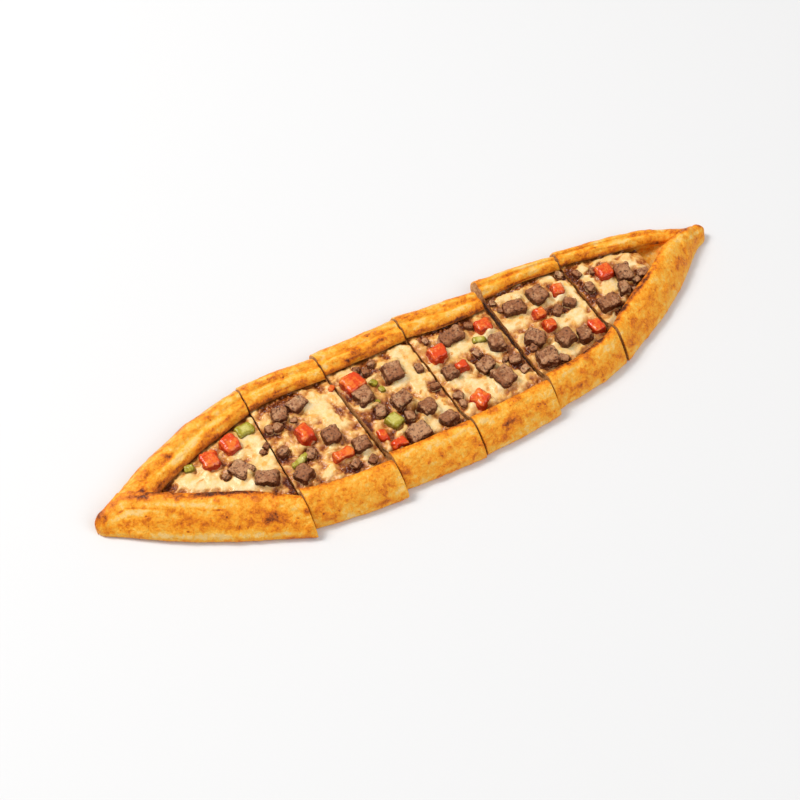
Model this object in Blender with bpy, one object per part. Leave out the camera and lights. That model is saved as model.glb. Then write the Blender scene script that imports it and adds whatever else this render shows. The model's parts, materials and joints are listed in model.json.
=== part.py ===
"""Turkish pide with diced meat, tomato, green pepper and melted cheese, cut across in six slices.

The boat-shaped crust lies along X, its broad front rim towards -Y, and rests on Z = 0. Every slice is a
piece of crust with a flat base and two rims, a slab of filling in the channel between them, and the larger
toppings sunk in that filling. Lengths are in metres; MM turns a figure in millimetres into metres.
"""
import math
import random
from dataclasses import dataclass, field

import bmesh
import bpy
from mathutils import Matrix, Vector, noise

MM = 0.001

# The whole pide
LENGTH = 432.4 * MM
WIDEST_AT = -19.5 * MM
HALF_WIDTH = 55.7 * MM
OUTLINE_POWER_LEFT = 2.8
OUTLINE_POWER_RIGHT = 3.1
TIP_RADIUS = 5.5 * MM
BOW_MIDDLE = 5.5 * MM
BOW_LEFT = 10 * MM
BOW_RIGHT = 23 * MM
BOW_SPAN = 214 * MM
BOX_MIDDLE = 0.46 * MM
TIP_ROUNDING_STEPS = (0.06, 0.25, 0.6)

# The crust
FRONT_HEIGHT = 18.1 * MM
FRONT_HEIGHT_LEFT_EXTRA = 1.4 * MM
BACK_HEIGHT = 16 * MM
BASE_THICKNESS = 4 * MM
TIP_HEIGHT_SHARE = 0.5
TIP_END_HEIGHT_SHARE = 0.6
NARROW_HALF_WIDTH = 2 * MM
WIDE_HALF_WIDTH = 26 * MM
FRONT_RIM = 18.7 * MM
FRONT_RIM_LEFT_EXTRA = 7.3 * MM
FRONT_RIM_MIDDLE_LOSS = 2.2 * MM
FRONT_RIM_RIGHT_EXTRA = 6.5 * MM
FRONT_RIM_TIP_LOSS = 12 * MM
BACK_RIM_LEFT = 24 * MM
BACK_RIM_MIDDLE_LOSS = 4 * MM
BACK_RIM_RIGHT_LOSS = 7 * MM
FLAP_THICKNESS = 2 * MM
LIP_UNDERCUT = 1.6 * MM
LIP_DEPTH = 3 * MM
SEAM = 0.3 * MM
SEAM_DEPTH = 0.5 * MM
LIP_STOP_SHARE = 0.12
FOOT_FULL_WIDTH = 16 * MM
BACK_FOOT_HEIGHT = 3 * MM
RIGHT_INSET = 2 * MM
FRONT_BULGE = 1.2 * MM
CORNER_REACH = 13 * MM
RIM_UNEVENNESS = 0.7 * MM
RIM_WANDER = 23 * MM
STATION_STEP = 5.6 * MM

# The filling and what lies on it
CLEARANCE = 0.35 * MM
FILLING_TOP = 10.6 * MM
FILLING_BUMP = 1.2 * MM
BUMP_SPREAD = 8 * MM
FINE_BUMP_SPREAD = 3.6 * MM
EDGE_DROOP = 1.8 * MM
DROOP_REACH = 7 * MM
LEAST_FILLING = 2 * MM
FILLING_END_THICKNESS = 1.5 * MM
FILLING_END_TAPER = 9 * MM
CHUNK_SINK = 4.4 * MM
CHUNK_BEVEL = 1.1 * MM
CHUNK_BEVEL_LIMIT = 0.2
CHUNK_UNEVENNESS = 0.45 * MM
CHUNK_TOP_SHARE = 0.94
SCRAP_HEIGHT = 5 * MM
SCRAP_WIDTH_SHARE = 0.8
SCRAP_REACH_SHARE = 0.6
SCRAP_TURN = 37
KNIFE_MARGIN = 1.1 * MM
RIM_MARGIN = 0.9 * MM

# How many points each part of an outline gets
FRONT_POINTS = 9
BACK_POINTS = 9
FLOOR_POINTS = 3
FOOT_POINTS = 3
FILLING_POINTS = 12

# Rounded foot of the front rim: how far in from its outer edge, then share of the rim's height
FRONT_FOOT_OUTLINE = ((3.0 * MM, 0.0), (0.9 * MM, 0.055), (0.1 * MM, 0.19))

# Outlines of the rims: share of the rim's width, then share of its height
FRONT_RIM_OUTLINE = ((0.13, 0.45), (0.43, 0.79), (0.74, 1.0), (0.95, 0.97), (1.0, 0.90))
BACK_RIM_OUTLINE = ((0.0, 0.70), (0.1, 0.85), (0.26, 0.97), (0.42, 0.93), (0.58, 1.0), (0.82, 0.84),
                    (1.0, 0.47), (0.97, 0.16), (0.84, 0.0))

CRUST_COLOUR = (0.80, 0.42, 0.12, 1)
FILLING_COLOUR = (0.86, 0.66, 0.38, 1)
TOPPING_COLOURS = {
    "meat": (0.20, 0.11, 0.08, 1),
    "tomato": (0.72, 0.09, 0.03, 1),
    "pepper": (0.40, 0.42, 0.06, 1),
}


@dataclass
class Chunk:
    """A diced topping: where its middle lies, its sides along and across, its height and its turn."""

    kind: str
    x: float
    y: float
    along: float
    across: float
    turn: float = 0
    height: float = 10


@dataclass
class Slice:
    """One slice: its two ends, and how each end is shifted across, widened and leaned by the knife.

    Shift and widening run from their first value to their second along the slice, the later the larger
    its ease. Gap is the half of each knife gap that this slice loses, and filling where its filling ends.
    """

    start: float
    end: float
    shift: tuple
    widen: tuple
    lean: tuple
    gap: tuple
    ease: float
    filling: tuple
    chunks: list = field(default_factory=list)
    scraps: list = field(default_factory=list)


# Places and sizes in millimetres, turns in degrees
SLICES = [
    Slice(-216.2, -105, (2, -1.8), (0, 5), (0, 0.03), (0, 0.6), 3, (-172, -105), [
        Chunk("tomato", -126, 21, 10.8, 12.8, 14, 9),
        Chunk("tomato", -139, 15.5, 10.8, 11.8, -6, 9),
        Chunk("pepper", -113, 27.5, 11.5, 8.5, 5, 7),
        Chunk("meat", -127, 2, 12.5, 13.5, 28, 8.5),
        Chunk("meat", -115, -15.5, 15.2, 9.8, -30, 10),
    ], [(-152, 16, 5), (-137, 2, 5), (-144, -2, 4), (-112, 8, 5), (-119, 12, 4)]),
    Slice(-105, -50.5, (1.7, -2.1), (2.6, 0), (0.03, -0.05), (0.6, 0.6), 1, (-105, -50.5), [
        Chunk("tomato", -83.5, 2.5, 11.2, 12.8, 8, 11),
        Chunk("tomato", -71, -18.5, 13.8, 7.2, 4, 8.5),
        Chunk("meat", -70.5, -3.5, 11, 11, 2, 10),
        Chunk("meat", -97.5, -21, 11, 11.5, 24, 10.5),
        Chunk("meat", -57, -18, 10.2, 10.2, -6, 10),
        Chunk("meat", -77, 26.5, 12, 8, 8, 9),
        Chunk("meat", -90.5, 24.5, 10, 9, -12, 9),
        Chunk("pepper", -94, -10, 13, 4, 24, 7),
    ], [(-101, 0, 6), (-87, -10.5, 6), (-57, -32, 6), (-67, -29, 6), (-96, 14, 6), (-81, 16, 5),
        (-58, 18, 5)]),
    Slice(-50.5, 5, (1.9, -0.5), (-1.4, 0), (-0.05, -0.02), (0.6, 0.8), 1, (-50.5, 5), [
        Chunk("tomato", -42, 23, 13, 12.5, 14, 10.5),
        Chunk("tomato", -43, -20, 7, 8.5, -12, 8.5),
        Chunk("tomato", -39, -30, 10, 6.5, 12, 8),
        Chunk("pepper", -32.5, -13.5, 9.5, 10.5, 22, 8),
        Chunk("meat", -16, 18, 13, 14, -9, 10.5),
        Chunk("meat", -40, 9.5, 11, 11.5, 10, 10),
        Chunk("meat", -22, -2.5, 13, 11, 4, 10.5),
        Chunk("meat", -11, -16, 10, 10.5, 6, 10),
        Chunk("meat", -25, -30, 14, 12, 8, 10.5),
        Chunk("meat", -3.5, -33, 12, 9, 10, 10),
    ], [(0, -3, 6), (-5, 12, 5), (-30, 14, 5), (-28.5, 8, 4), (-20, -17.5, 5), (-36, -3.5, 7),
        (-29.5, 26, 7)]),
    Slice(5, 60.3, (1.0, -3.0), (0, -3.5), (-0.02, -0.03), (0.6, 1.6), 1, (5, 60.3), [
        Chunk("tomato", 13, 15.5, 12, 11, 0, 9.5),
        Chunk("tomato", 23.5, 0.5, 8, 7.5, -10, 10),
        Chunk("tomato", 50.5, 19.5, 11.5, 9.5, -8, 9),
        Chunk("tomato", 19, -28, 12, 12, 24, 9.5),
        Chunk("pepper", 42.5, 13, 9, 4, -22, 7),
        Chunk("meat", 13.5, -1.5, 9, 9.5, 6, 10),
        Chunk("meat", 35, -5.5, 12, 9, 20, 10),
        Chunk("meat", 53, 4.5, 10, 12, -14, 10.5),
        Chunk("meat", 39.5, -19, 12, 13, 8, 10.5),
        Chunk("meat", 29.5, 24, 14, 10, 2, 8.5),
    ], [(51.5, -18.5, 6), (35, 4.5, 6), (42, 25, 5), (14, 27, 5), (55, -28, 5), (9, -20.5, 7)]),
    Slice(60.3, 116.3, (2.3, -2.6), (-1.7, -2.4), (0.005, -0.01), (1.3, 1.0), 1, (60.3, 116.3), [
        Chunk("tomato", 83.5, 11.5, 8.5, 8, -2, 9.5),
        Chunk("tomato", 84.5, 0.5, 8.8, 8.8, -8, 9.5),
        Chunk("tomato", 104, 20, 7.5, 8, -14, 9),
        Chunk("tomato", 110.5, -14, 8.2, 10.8, -3, 10),
        Chunk("meat", 74, 22.5, 13.8, 8.8, -12, 10),
        Chunk("meat", 92, 23.5, 11, 12, 10, 10.5),
        Chunk("meat", 71.5, -3.5, 10.8, 12.8, 38, 10.5),
        Chunk("meat", 87.5, -13, 11.8, 10.8, 14, 10.5),
        Chunk("meat", 100, -17.5, 8.8, 10.8, -3, 10.5),
        Chunk("meat", 69, -20.5, 12.5, 12.5, -8, 10.5),
    ], [(78.5, -26, 5), (94, -5, 4), (104, -4, 4), (95.5, 6.5, 7), (105.5, 7, 7)]),
    Slice(116.3, 216.2, (-1.5, -1.5), (-1, 0), (-0.01, 0), (1.0, 0), 4, (116.3, 168), [
        Chunk("tomato", 137, 17, 10.8, 10.2, -4, 9.5),
        Chunk("meat", 148, 11.5, 9.5, 12.5, -14, 10.5),
        Chunk("meat", 127.5, -3.5, 15, 11, 0, 10.5),
        Chunk("meat", 141, -4, 8, 8, -8, 9.5),
    ], [(158, 5, 6), (150, 0, 4), (132, 22, 4), (124, 13.5, 7)]),
]


def smooth(value, low, high):
    """Rises evenly from 0 at low to 1 at high, with level ends."""
    share = min(max((value - low) / (high - low), 0), 1)
    return share * share * (3 - 2 * share)


def mix(first, second, share):
    return first + (second - first) * share


def through(points, count):
    """Points at equal steps along a smooth curve through the given ones."""
    ends = [points[0]] + list(points) + [points[-1]]
    curve = []
    for before, start, stop, after in zip(ends, ends[1:], ends[2:], ends[3:]):
        for step in range(8):
            t = step / 8
            curve.append([0.5 * (2 * b + (c - a) * t + (2 * a - 5 * b + 4 * c - d) * t * t
                                 + (3 * b - a - 3 * c + d) * t ** 3)
                          for a, b, c, d in zip(before, start, stop, after)])
    curve.append(list(points[-1]))
    return resample(curve, count)


def resample(curve, count):
    """Equally spaced points along a polyline, its two ends kept."""
    lengths = [0]
    for first, second in zip(curve, curve[1:]):
        lengths.append(lengths[-1] + math.dist(first, second))
    result = []
    segment = 0
    for index in range(count):
        target = lengths[-1] * index / (count - 1)
        while segment < len(curve) - 2 and lengths[segment + 1] < target:
            segment += 1
        span = lengths[segment + 1] - lengths[segment]
        share = (target - lengths[segment]) / span if span else 0
        result.append([mix(a, b, share) for a, b in zip(curve[segment], curve[segment + 1])])
    return result


def tip_rounding(x):
    """0 at either tip of the pide, rising in a quarter circle to 1 one tip radius further in."""
    inset = min((LENGTH / 2 - abs(x)) / TIP_RADIUS, 1)
    return math.sqrt(max(1 - (1 - inset) ** 2, 0))


def half_width(x):
    """Half the width of the uncut pide: a boat's outline with rounded tips."""
    if x < WIDEST_AT:
        boat = 1 - ((WIDEST_AT - x) / (WIDEST_AT + LENGTH / 2)) ** OUTLINE_POWER_LEFT
    else:
        boat = 1 - ((x - WIDEST_AT) / (LENGTH / 2 - WIDEST_AT)) ** OUTLINE_POWER_RIGHT
    return math.hypot(HALF_WIDTH * boat, TIP_RADIUS) * tip_rounding(x)


def centre_line(x):
    bow = BOW_LEFT if x < BOW_MIDDLE else BOW_RIGHT
    return bow * ((x - BOW_MIDDLE) / BOW_SPAN) ** 2 - BOX_MIDDLE


def right_inset(x):
    """How far the front edge is drawn in along the last slice."""
    return RIGHT_INSET * smooth(x, 105 * MM, 132 * MM) * (1 - smooth(x, 204 * MM, 214 * MM))


def front_rim_width(x):
    return (FRONT_RIM + FRONT_RIM_LEFT_EXTRA * (1 - smooth(x, -135 * MM, -90 * MM))
            - FRONT_RIM_MIDDLE_LOSS * smooth(x, 20 * MM, 75 * MM)
            + FRONT_RIM_RIGHT_EXTRA * smooth(x, 100 * MM, 146 * MM)
            - FRONT_RIM_TIP_LOSS * smooth(x, 176 * MM, 211 * MM))


def back_rim_width(x):
    return (BACK_RIM_LEFT - BACK_RIM_MIDDLE_LOSS * smooth(x, -165 * MM, -75 * MM)
            - BACK_RIM_RIGHT_LOSS * smooth(x, 25 * MM, 105 * MM))


def unevenness(x, row):
    """A slow wander along the pide, different for each row."""
    return RIM_UNEVENNESS * noise.noise(Vector((x / RIM_WANDER, row * 7.3, 0.5)))


class Channel:
    """The crust's cross-section at one place along a slice, and the room it leaves for the filling."""

    def __init__(self, piece, x):
        start, end = piece.start * MM, piece.end * MM
        share = min(max((x - start) / (end - start), 0), 1)
        eased = share ** piece.ease
        half = half_width(x) + mix(*piece.widen, eased) * MM
        middle = centre_line(x) + mix(*piece.shift, eased) * MM
        broad = smooth(half, NARROW_HALF_WIDTH, WIDE_HALF_WIDTH)
        low = mix(TIP_HEIGHT_SHARE, 1, broad) * mix(TIP_END_HEIGHT_SHARE, 1, tip_rounding(x))
        bulge = FRONT_BULGE * broad
        self.front = middle - half + unevenness(x, 1) + right_inset(x) - bulge
        self.back = middle + half + unevenness(x, 2)
        front_height = FRONT_HEIGHT + FRONT_HEIGHT_LEFT_EXTRA * (1 - smooth(x, -140 * MM, -100 * MM))
        self.front_height = (front_height + unevenness(x, 3)) * low
        self.back_height = (BACK_HEIGHT + unevenness(x, 4)) * low
        lip_stop = mix(self.back, self.front, LIP_STOP_SHARE)
        self.lip = min(self.front + bulge + front_rim_width(x) + unevenness(x, 5), lip_stop)
        self.edge = self.back - back_rim_width(x) + unevenness(x, 6)
        self.open = smooth(self.edge - self.lip, 0, CORNER_REACH)
        self.lean = mix(*piece.lean, share)
        self.middle = middle

    def back_rim(self):
        """The back rim's outline from its inner edge over the top to its foot."""
        width = self.back - self.edge
        return through([(self.edge + width * across, self.back_height * up)
                        for across, up in BACK_RIM_OUTLINE], 40)

    def rims(self):
        """Outlines of the front rim, of the channel's walls and floor, and of the back rim."""
        width = self.lip - self.front
        back = [(y, z) for y, z in self.back_rim() if y > self.lip + SEAM or z < BACK_FOOT_HEIGHT]
        if self.edge < self.lip:
            flap_top = max(self.front_height * FRONT_RIM_OUTLINE[-1][1], back[0][1] + FLAP_THICKNESS)
            height = flap_top / FRONT_RIM_OUTLINE[-1][1]
        else:
            height = self.front_height
        foot_share = min(width / FOOT_FULL_WIDTH, 1)
        foot = [(self.front + inset * foot_share, height * up) for inset, up in FRONT_FOOT_OUTLINE]
        front = through(foot + [(self.front + width * across, height * up)
                                for across, up in FRONT_RIM_OUTLINE], FRONT_POINTS)
        closed_floor = min(front[-1][1] - FLAP_THICKNESS, back[0][1])
        floor = mix(closed_floor, BASE_THICKNESS, self.open)
        wall = LIP_UNDERCUT * self.open
        front_wall = self.lip - wall
        back_wall = max(self.edge, self.lip + SEAM / 3) + wall
        under_lip = (front_wall, front[-1][1] - mix(SEAM_DEPTH, LIP_DEPTH, self.open))
        under_edge = (back_wall, mix(floor, back[0][1] - SEAM_DEPTH, mix(0.2, 1, self.open)))
        level = [(mix(front_wall, back_wall, step / (FLOOR_POINTS + 1)), floor)
                 for step in range(FLOOR_POINTS + 2)]
        return front, [under_lip] + level + [under_edge], resample(back, BACK_POINTS)

    def outline(self):
        """The closed outline, from the front foot over both rims and back under the base."""
        front, channel, back = self.rims()
        under = [(mix(back[-1][0], front[0][0], step / (FOOT_POINTS + 1)), 0)
                 for step in range(1, FOOT_POINTS + 1)]
        return front + channel + back + under

    def floor(self):
        """Height of the channel's floor, and where its two walls stand."""
        level = self.rims()[1][1:-1]
        return level[0][1], level[0][0], level[-1][0]


def stations(start, end, inner_tips=False):
    """Places along a slice where its outline is worked out, closer together round a tip."""
    count = max(round((end - start) / STATION_STEP), 1)
    places = [mix(start, end, index / count) for index in range(count + 1)]
    if inner_tips:
        tip = LENGTH / 2
        rounded = [tip - inset * TIP_RADIUS for inset in TIP_ROUNDING_STEPS]
        if start < -tip + STATION_STEP:
            places = [-place for place in rounded] + places[1:]
        if end > tip - STATION_STEP:
            places = places[:-1] + rounded[::-1]
    return places


def face_outwards(shape):
    bmesh.ops.recalc_face_normals(shape, faces=shape.faces)
    if shape.calc_volume(signed=True) < 0:
        bmesh.ops.reverse_faces(shape, faces=shape.faces)


def loft(name, rings, colour, roughness):
    """A closed solid through rings of equally many points, with flat ends."""
    mesh = bpy.data.meshes.new(name)
    shape = bmesh.new()
    rows = [[shape.verts.new(point) for point in ring] for ring in rings]
    for first, second in zip(rows, rows[1:]):
        for index in range(len(first)):
            after = (index + 1) % len(first)
            shape.faces.new((first[index], first[after], second[after], second[index]))
    shape.faces.new(rows[0][::-1])
    shape.faces.new(rows[-1])
    shape.normal_update()
    bmesh.ops.triangulate(shape, faces=shape.faces)
    face_outwards(shape)
    shape.to_mesh(mesh)
    shape.free()
    return add_object(name, mesh, colour, roughness)


def add_object(name, mesh, colour, roughness):
    material = bpy.data.materials.new(name)
    material.use_nodes = True
    shader = material.node_tree.nodes["Principled BSDF"]
    shader.inputs["Base Color"].default_value = colour
    shader.inputs["Roughness"].default_value = roughness
    shader.inputs["Metallic"].default_value = 0
    mesh.materials.append(material)
    thing = bpy.data.objects.new(name, mesh)
    bpy.context.scene.collection.objects.link(thing)
    return thing


def leaned(channel, x, outline):
    """Places an outline at x, leaned as the knife went."""
    return [Vector((x + channel.lean * (y - channel.middle), y, z)) for y, z in outline]


def knife_ends(piece):
    """Where the slice's two cut faces are, half of each knife gap taken off."""
    return piece.start * MM + piece.gap[0] * MM, piece.end * MM - piece.gap[1] * MM


def crust(number, piece):
    start, end = knife_ends(piece)
    rings = []
    for x in stations(start, end, inner_tips=True):
        channel = Channel(piece, x)
        rings.append(leaned(channel, x, channel.outline()))
    return loft(f"crust_{number}", rings, CRUST_COLOUR, 0.55)


def filling_height(x, y, floor, front, back):
    """Height of the melted top: bumpy, and lower along the rims."""
    bumps = noise.noise(Vector((x, y, 0)) / BUMP_SPREAD)
    fine_bumps = noise.noise(Vector((x, y, BUMP_SPREAD)) / FINE_BUMP_SPREAD)
    droop = EDGE_DROOP * (1 - smooth(min(y - front, back - y), 0, DROOP_REACH))
    return max(FILLING_TOP + FILLING_BUMP * (bumps + fine_bumps / 2) - droop, floor + LEAST_FILLING)


def filling(number, piece):
    """The slab of cheese and juices between the rims, before anything is sunk in it."""
    start, end = knife_ends(piece)
    first, last = (place * MM for place in piece.filling)
    places = [x for x in stations(start, end, inner_tips=True) if first <= x <= last]
    rings = []
    for x in places:
        channel = Channel(piece, x)
        floor, front, back = channel.floor()
        floor, front, back = floor + CLEARANCE, front + CLEARANCE, back - CLEARANCE
        taper = 1
        if piece.start < piece.filling[0]:
            taper = smooth(x, first - STATION_STEP, first + FILLING_END_TAPER)
        if piece.end > piece.filling[1]:
            taper = 1 - smooth(x, last - FILLING_END_TAPER, last + STATION_STEP)
        top = []
        for step in range(FILLING_POINTS):
            y = mix(front, back, step / (FILLING_POINTS - 1))
            height = filling_height(x, y, floor, front, back)
            top.append((y, mix(floor + FILLING_END_THICKNESS, height, taper)))
        outline = top + [(back, floor), (mix(front, back, 0.5), floor), (front, floor)]
        rings.append(leaned(channel, x, outline))
    return loft(f"filling_{number}", rings, FILLING_COLOUR, 0.4)


def chunk_mesh(name, size, place, turn, seed, grow=0, bevel=CHUNK_BEVEL):
    """A diced piece with broken corners and no two sides alike."""
    draw = random.Random(seed)
    shape = bmesh.new()
    bmesh.ops.create_cube(shape, size=1)
    bmesh.ops.scale(shape, vec=size, verts=shape.verts)
    if bevel:
        bmesh.ops.bevel(shape, geom=shape.edges[:], offset=min(bevel, min(size) * CHUNK_BEVEL_LIMIT),
                        segments=1, profile=0.5, affect="EDGES")
    for vert in shape.verts:
        vert.co += Vector([draw.uniform(-1, 1) * CHUNK_UNEVENNESS for _ in range(3)])
        if vert.co.z > 0:
            vert.co.xy *= CHUNK_TOP_SHARE
    stretch = [(side + 2 * grow) / side for side in size]
    bmesh.ops.scale(shape, vec=stretch, verts=shape.verts)
    bmesh.ops.triangulate(shape, faces=shape.faces)
    matrix = Matrix.Translation(place) @ Matrix.Rotation(math.radians(turn), 4, "Z")
    bmesh.ops.transform(shape, matrix=matrix, verts=shape.verts)
    face_outwards(shape)
    mesh = bpy.data.meshes.new(name)
    shape.to_mesh(mesh)
    shape.free()
    return mesh


def boolean(target, operation, tools):
    """Joins or cuts a solid with a group of others, applies it, and removes the others."""
    group = bpy.data.collections.new(f"{target.name}_{operation.lower()}")
    bpy.context.scene.collection.children.link(group)
    for tool in tools:
        bpy.context.scene.collection.objects.unlink(tool)
        group.objects.link(tool)
        tool.hide_render = True
        tool.display_type = "WIRE"
    modifier = target.modifiers.new(operation, "BOOLEAN")
    modifier.operation = operation
    modifier.operand_type = "COLLECTION"
    modifier.collection = group
    modifier.solver = "EXACT"
    bpy.context.view_layer.update()
    result = bpy.data.meshes.new_from_object(target.evaluated_get(bpy.context.evaluated_depsgraph_get()))
    target.modifiers.clear()
    target.data = result
    for tool in tools:
        bpy.data.objects.remove(tool)
    bpy.data.collections.remove(group)


def keep_largest_body(target):
    """Drops any scrap that a cut has set loose."""
    shape = bmesh.new()
    shape.from_mesh(target.data)
    bmesh.ops.triangulate(shape, faces=shape.faces)
    unseen = set(shape.verts)
    bodies = []
    while unseen:
        body = {unseen.pop()}
        edge_of_search = list(body)
        while edge_of_search:
            vert = edge_of_search.pop()
            for edge in vert.link_edges:
                other = edge.other_vert(vert)
                if other in unseen:
                    unseen.discard(other)
                    body.add(other)
                    edge_of_search.append(other)
        bodies.append(body)
    bodies.sort(key=len, reverse=True)
    for body in bodies[1:]:
        bmesh.ops.delete(shape, geom=list(body), context="VERTS")
    shape.to_mesh(target.data)
    shape.free()


def fit_between_rims(piece, x, y, reach_along, reach_across):
    """Moves a topping so that it stays clear of both rims and of both cut faces."""
    start, end = knife_ends(piece)
    lean = max(abs(value) for value in piece.lean) * reach_across
    first, last = Channel(piece, start), Channel(piece, end)
    lowest = start + first.lean * (y - first.middle) + lean + reach_along + KNIFE_MARGIN
    highest = end + last.lean * (y - last.middle) - lean - reach_along - KNIFE_MARGIN
    x = min(max(x, lowest), highest)
    low, high = -1, 1
    for place in (x - reach_along, x, x + reach_along):
        channel = Channel(piece, place)
        channel = Channel(piece, place - channel.lean * (y - channel.middle))
        low = max(low, channel.lip + RIM_MARGIN)
        high = min(high, channel.edge - RIM_MARGIN)
    return x, min(max(y, low + reach_across), high - reach_across)


def reach(along, across, turn):
    """Half the room that a turned rectangle takes along X and along Y."""
    c, s = abs(math.cos(math.radians(turn))), abs(math.sin(math.radians(turn)))
    return (along * c + across * s) / 2, (along * s + across * c) / 2


def add_toppings(number, piece, slab, counts):
    """Fuses the small scraps to the filling, then sinks each larger chunk in a pocket of its own."""
    scraps = []
    for index, (x, y, side) in enumerate(piece.scraps):
        side *= MM
        around = side * SCRAP_REACH_SHARE
        x, y = fit_between_rims(piece, x * MM, y * MM, around, around)
        place = Vector((x, y, FILLING_TOP))
        mesh = chunk_mesh(f"scrap_{number}_{index}", (side, side * SCRAP_WIDTH_SHARE, SCRAP_HEIGHT), place,
                          SCRAP_TURN * index, 100 * number + index, bevel=0)
        scraps.append(add_object(mesh.name, mesh, FILLING_COLOUR, 0.4))
    boolean(slab, "UNION", scraps)
    pockets = []
    for index, chunk in enumerate(piece.chunks):
        size = Vector((chunk.along, chunk.across, chunk.height)) * MM
        reach_along, reach_across = reach(size.x, size.y, chunk.turn)
        x, y = fit_between_rims(piece, chunk.x * MM, chunk.y * MM, reach_along, reach_across)
        place = Vector((x, y, FILLING_TOP - CHUNK_SINK + size.z / 2))
        counts[chunk.kind] = counts.get(chunk.kind, 0) + 1
        name = f"{chunk.kind}_{counts[chunk.kind]}"
        seed = 1000 * number + index
        mesh = chunk_mesh(name, size, place, chunk.turn, seed)
        add_object(name, mesh, TOPPING_COLOURS[chunk.kind], 0.5)
        pocket = chunk_mesh(f"pocket_{name}", size, place, chunk.turn, seed, grow=CLEARANCE)
        pockets.append(add_object(pocket.name, pocket, FILLING_COLOUR, 0.4))
    boolean(slab, "DIFFERENCE", pockets)
    keep_largest_body(slab)


def main():
    for thing in list(bpy.data.objects):
        bpy.data.objects.remove(thing)
    counts = {}
    for number, piece in enumerate(SLICES, start=1):
        crust(number, piece)
        slab = filling(number, piece)
        add_toppings(number, piece, slab, counts)


main()
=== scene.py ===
"""Looks of a turkish pide, a boat of baked dough cut across in six slices and filled with cheese and meat.

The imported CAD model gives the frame. Each of its nodes is replaced by a finer piece that follows the same
sections, so that the crust gets its blisters and browning, the filling its melted cheese, mince and juices,
and every diced topping its own rough or glossy surface.
"""

import json
import logging
import math
import random
from dataclasses import dataclass, field
from enum import Enum
from typing import Any, Iterable, Optional, Union

import bmesh
import bpy
import numpy as np
from mathutils import Euler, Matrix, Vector, noise

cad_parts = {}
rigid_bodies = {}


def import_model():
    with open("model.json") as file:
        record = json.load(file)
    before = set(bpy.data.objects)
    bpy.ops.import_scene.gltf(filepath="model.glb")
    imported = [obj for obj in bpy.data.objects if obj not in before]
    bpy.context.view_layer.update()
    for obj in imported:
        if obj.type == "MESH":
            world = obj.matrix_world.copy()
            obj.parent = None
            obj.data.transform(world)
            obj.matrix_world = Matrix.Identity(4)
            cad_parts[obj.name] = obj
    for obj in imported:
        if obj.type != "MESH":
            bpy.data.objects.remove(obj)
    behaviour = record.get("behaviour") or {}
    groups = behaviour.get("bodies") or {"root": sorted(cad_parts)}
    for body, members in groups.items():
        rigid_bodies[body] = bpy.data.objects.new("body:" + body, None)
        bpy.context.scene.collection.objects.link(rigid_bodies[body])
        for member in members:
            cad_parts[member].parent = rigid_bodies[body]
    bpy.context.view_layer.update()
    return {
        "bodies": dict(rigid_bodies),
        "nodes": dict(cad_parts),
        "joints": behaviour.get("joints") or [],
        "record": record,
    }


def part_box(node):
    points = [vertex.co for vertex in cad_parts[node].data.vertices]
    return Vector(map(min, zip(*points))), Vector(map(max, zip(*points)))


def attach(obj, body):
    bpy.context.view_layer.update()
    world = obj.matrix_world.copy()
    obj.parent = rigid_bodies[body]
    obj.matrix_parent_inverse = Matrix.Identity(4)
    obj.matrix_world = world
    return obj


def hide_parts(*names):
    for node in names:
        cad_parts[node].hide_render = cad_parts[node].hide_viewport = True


log = logging.getLogger("pide")

MM = 0.001
Colour = tuple[float, float, float, float]
Point = tuple[float, float]
Step = tuple[float, float, float]
Spot = tuple[float, float, float, float]
WELD = 1e-6
SMALL_END = 8
SHARP_ANGLE = math.radians(50)
CURVE_STEPS = 12
LUMP_STEEPNESS = 1.4
# Odd factors that turn the middle of a lump into a number that looks drawn at random.
SCRAMBLE: Step = (12.9898, 78.233, 43758.5453)


def smooth(value: float, low: float, high: float) -> float:
    """Rises evenly from 0 at low to 1 at high, with level ends.

    Args:
        value: the number looked at.
        low: where the rise starts.
        high: where it ends.

    Returns:
        A share from 0 to 1.
    """
    share = min(max((value - low) / (high - low), 0.0), 1.0)
    return share * share * (3 - 2 * share)


def smooth_all(values: np.ndarray, low: float, high: float) -> np.ndarray:
    """The same rise as smooth, for a whole array.

    Args:
        values: the numbers looked at.
        low: where the rise starts.
        high: where it ends.

    Returns:
        Shares from 0 to 1.
    """
    share = np.clip((values - low) / (high - low), 0, 1)
    return share * share * (3 - 2 * share)


def mix(first: float, second: float, share: float) -> float:
    """The number that lies at a share of the way from first to second."""
    return first + (second - first) * share


def resample(curve: list[list[float]], count: int) -> list[list[float]]:
    """Equally spaced points along a polyline, its two ends kept.

    Args:
        curve: the polyline's points.
        count: how many points are wanted.

    Returns:
        The new points.
    """
    lengths = [0.0]
    for first, second in zip(curve, curve[1:]):
        lengths.append(lengths[-1] + math.dist(first, second))
    result = []
    segment = 0
    for index in range(count):
        target = lengths[-1] * index / (count - 1)
        while segment < len(curve) - 2 and lengths[segment + 1] < target:
            segment += 1
        span = lengths[segment + 1] - lengths[segment]
        share = (target - lengths[segment]) / span if span else 0.0
        result.append([mix(a, b, share) for a, b in zip(curve[segment], curve[segment + 1])])
    return result


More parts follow.
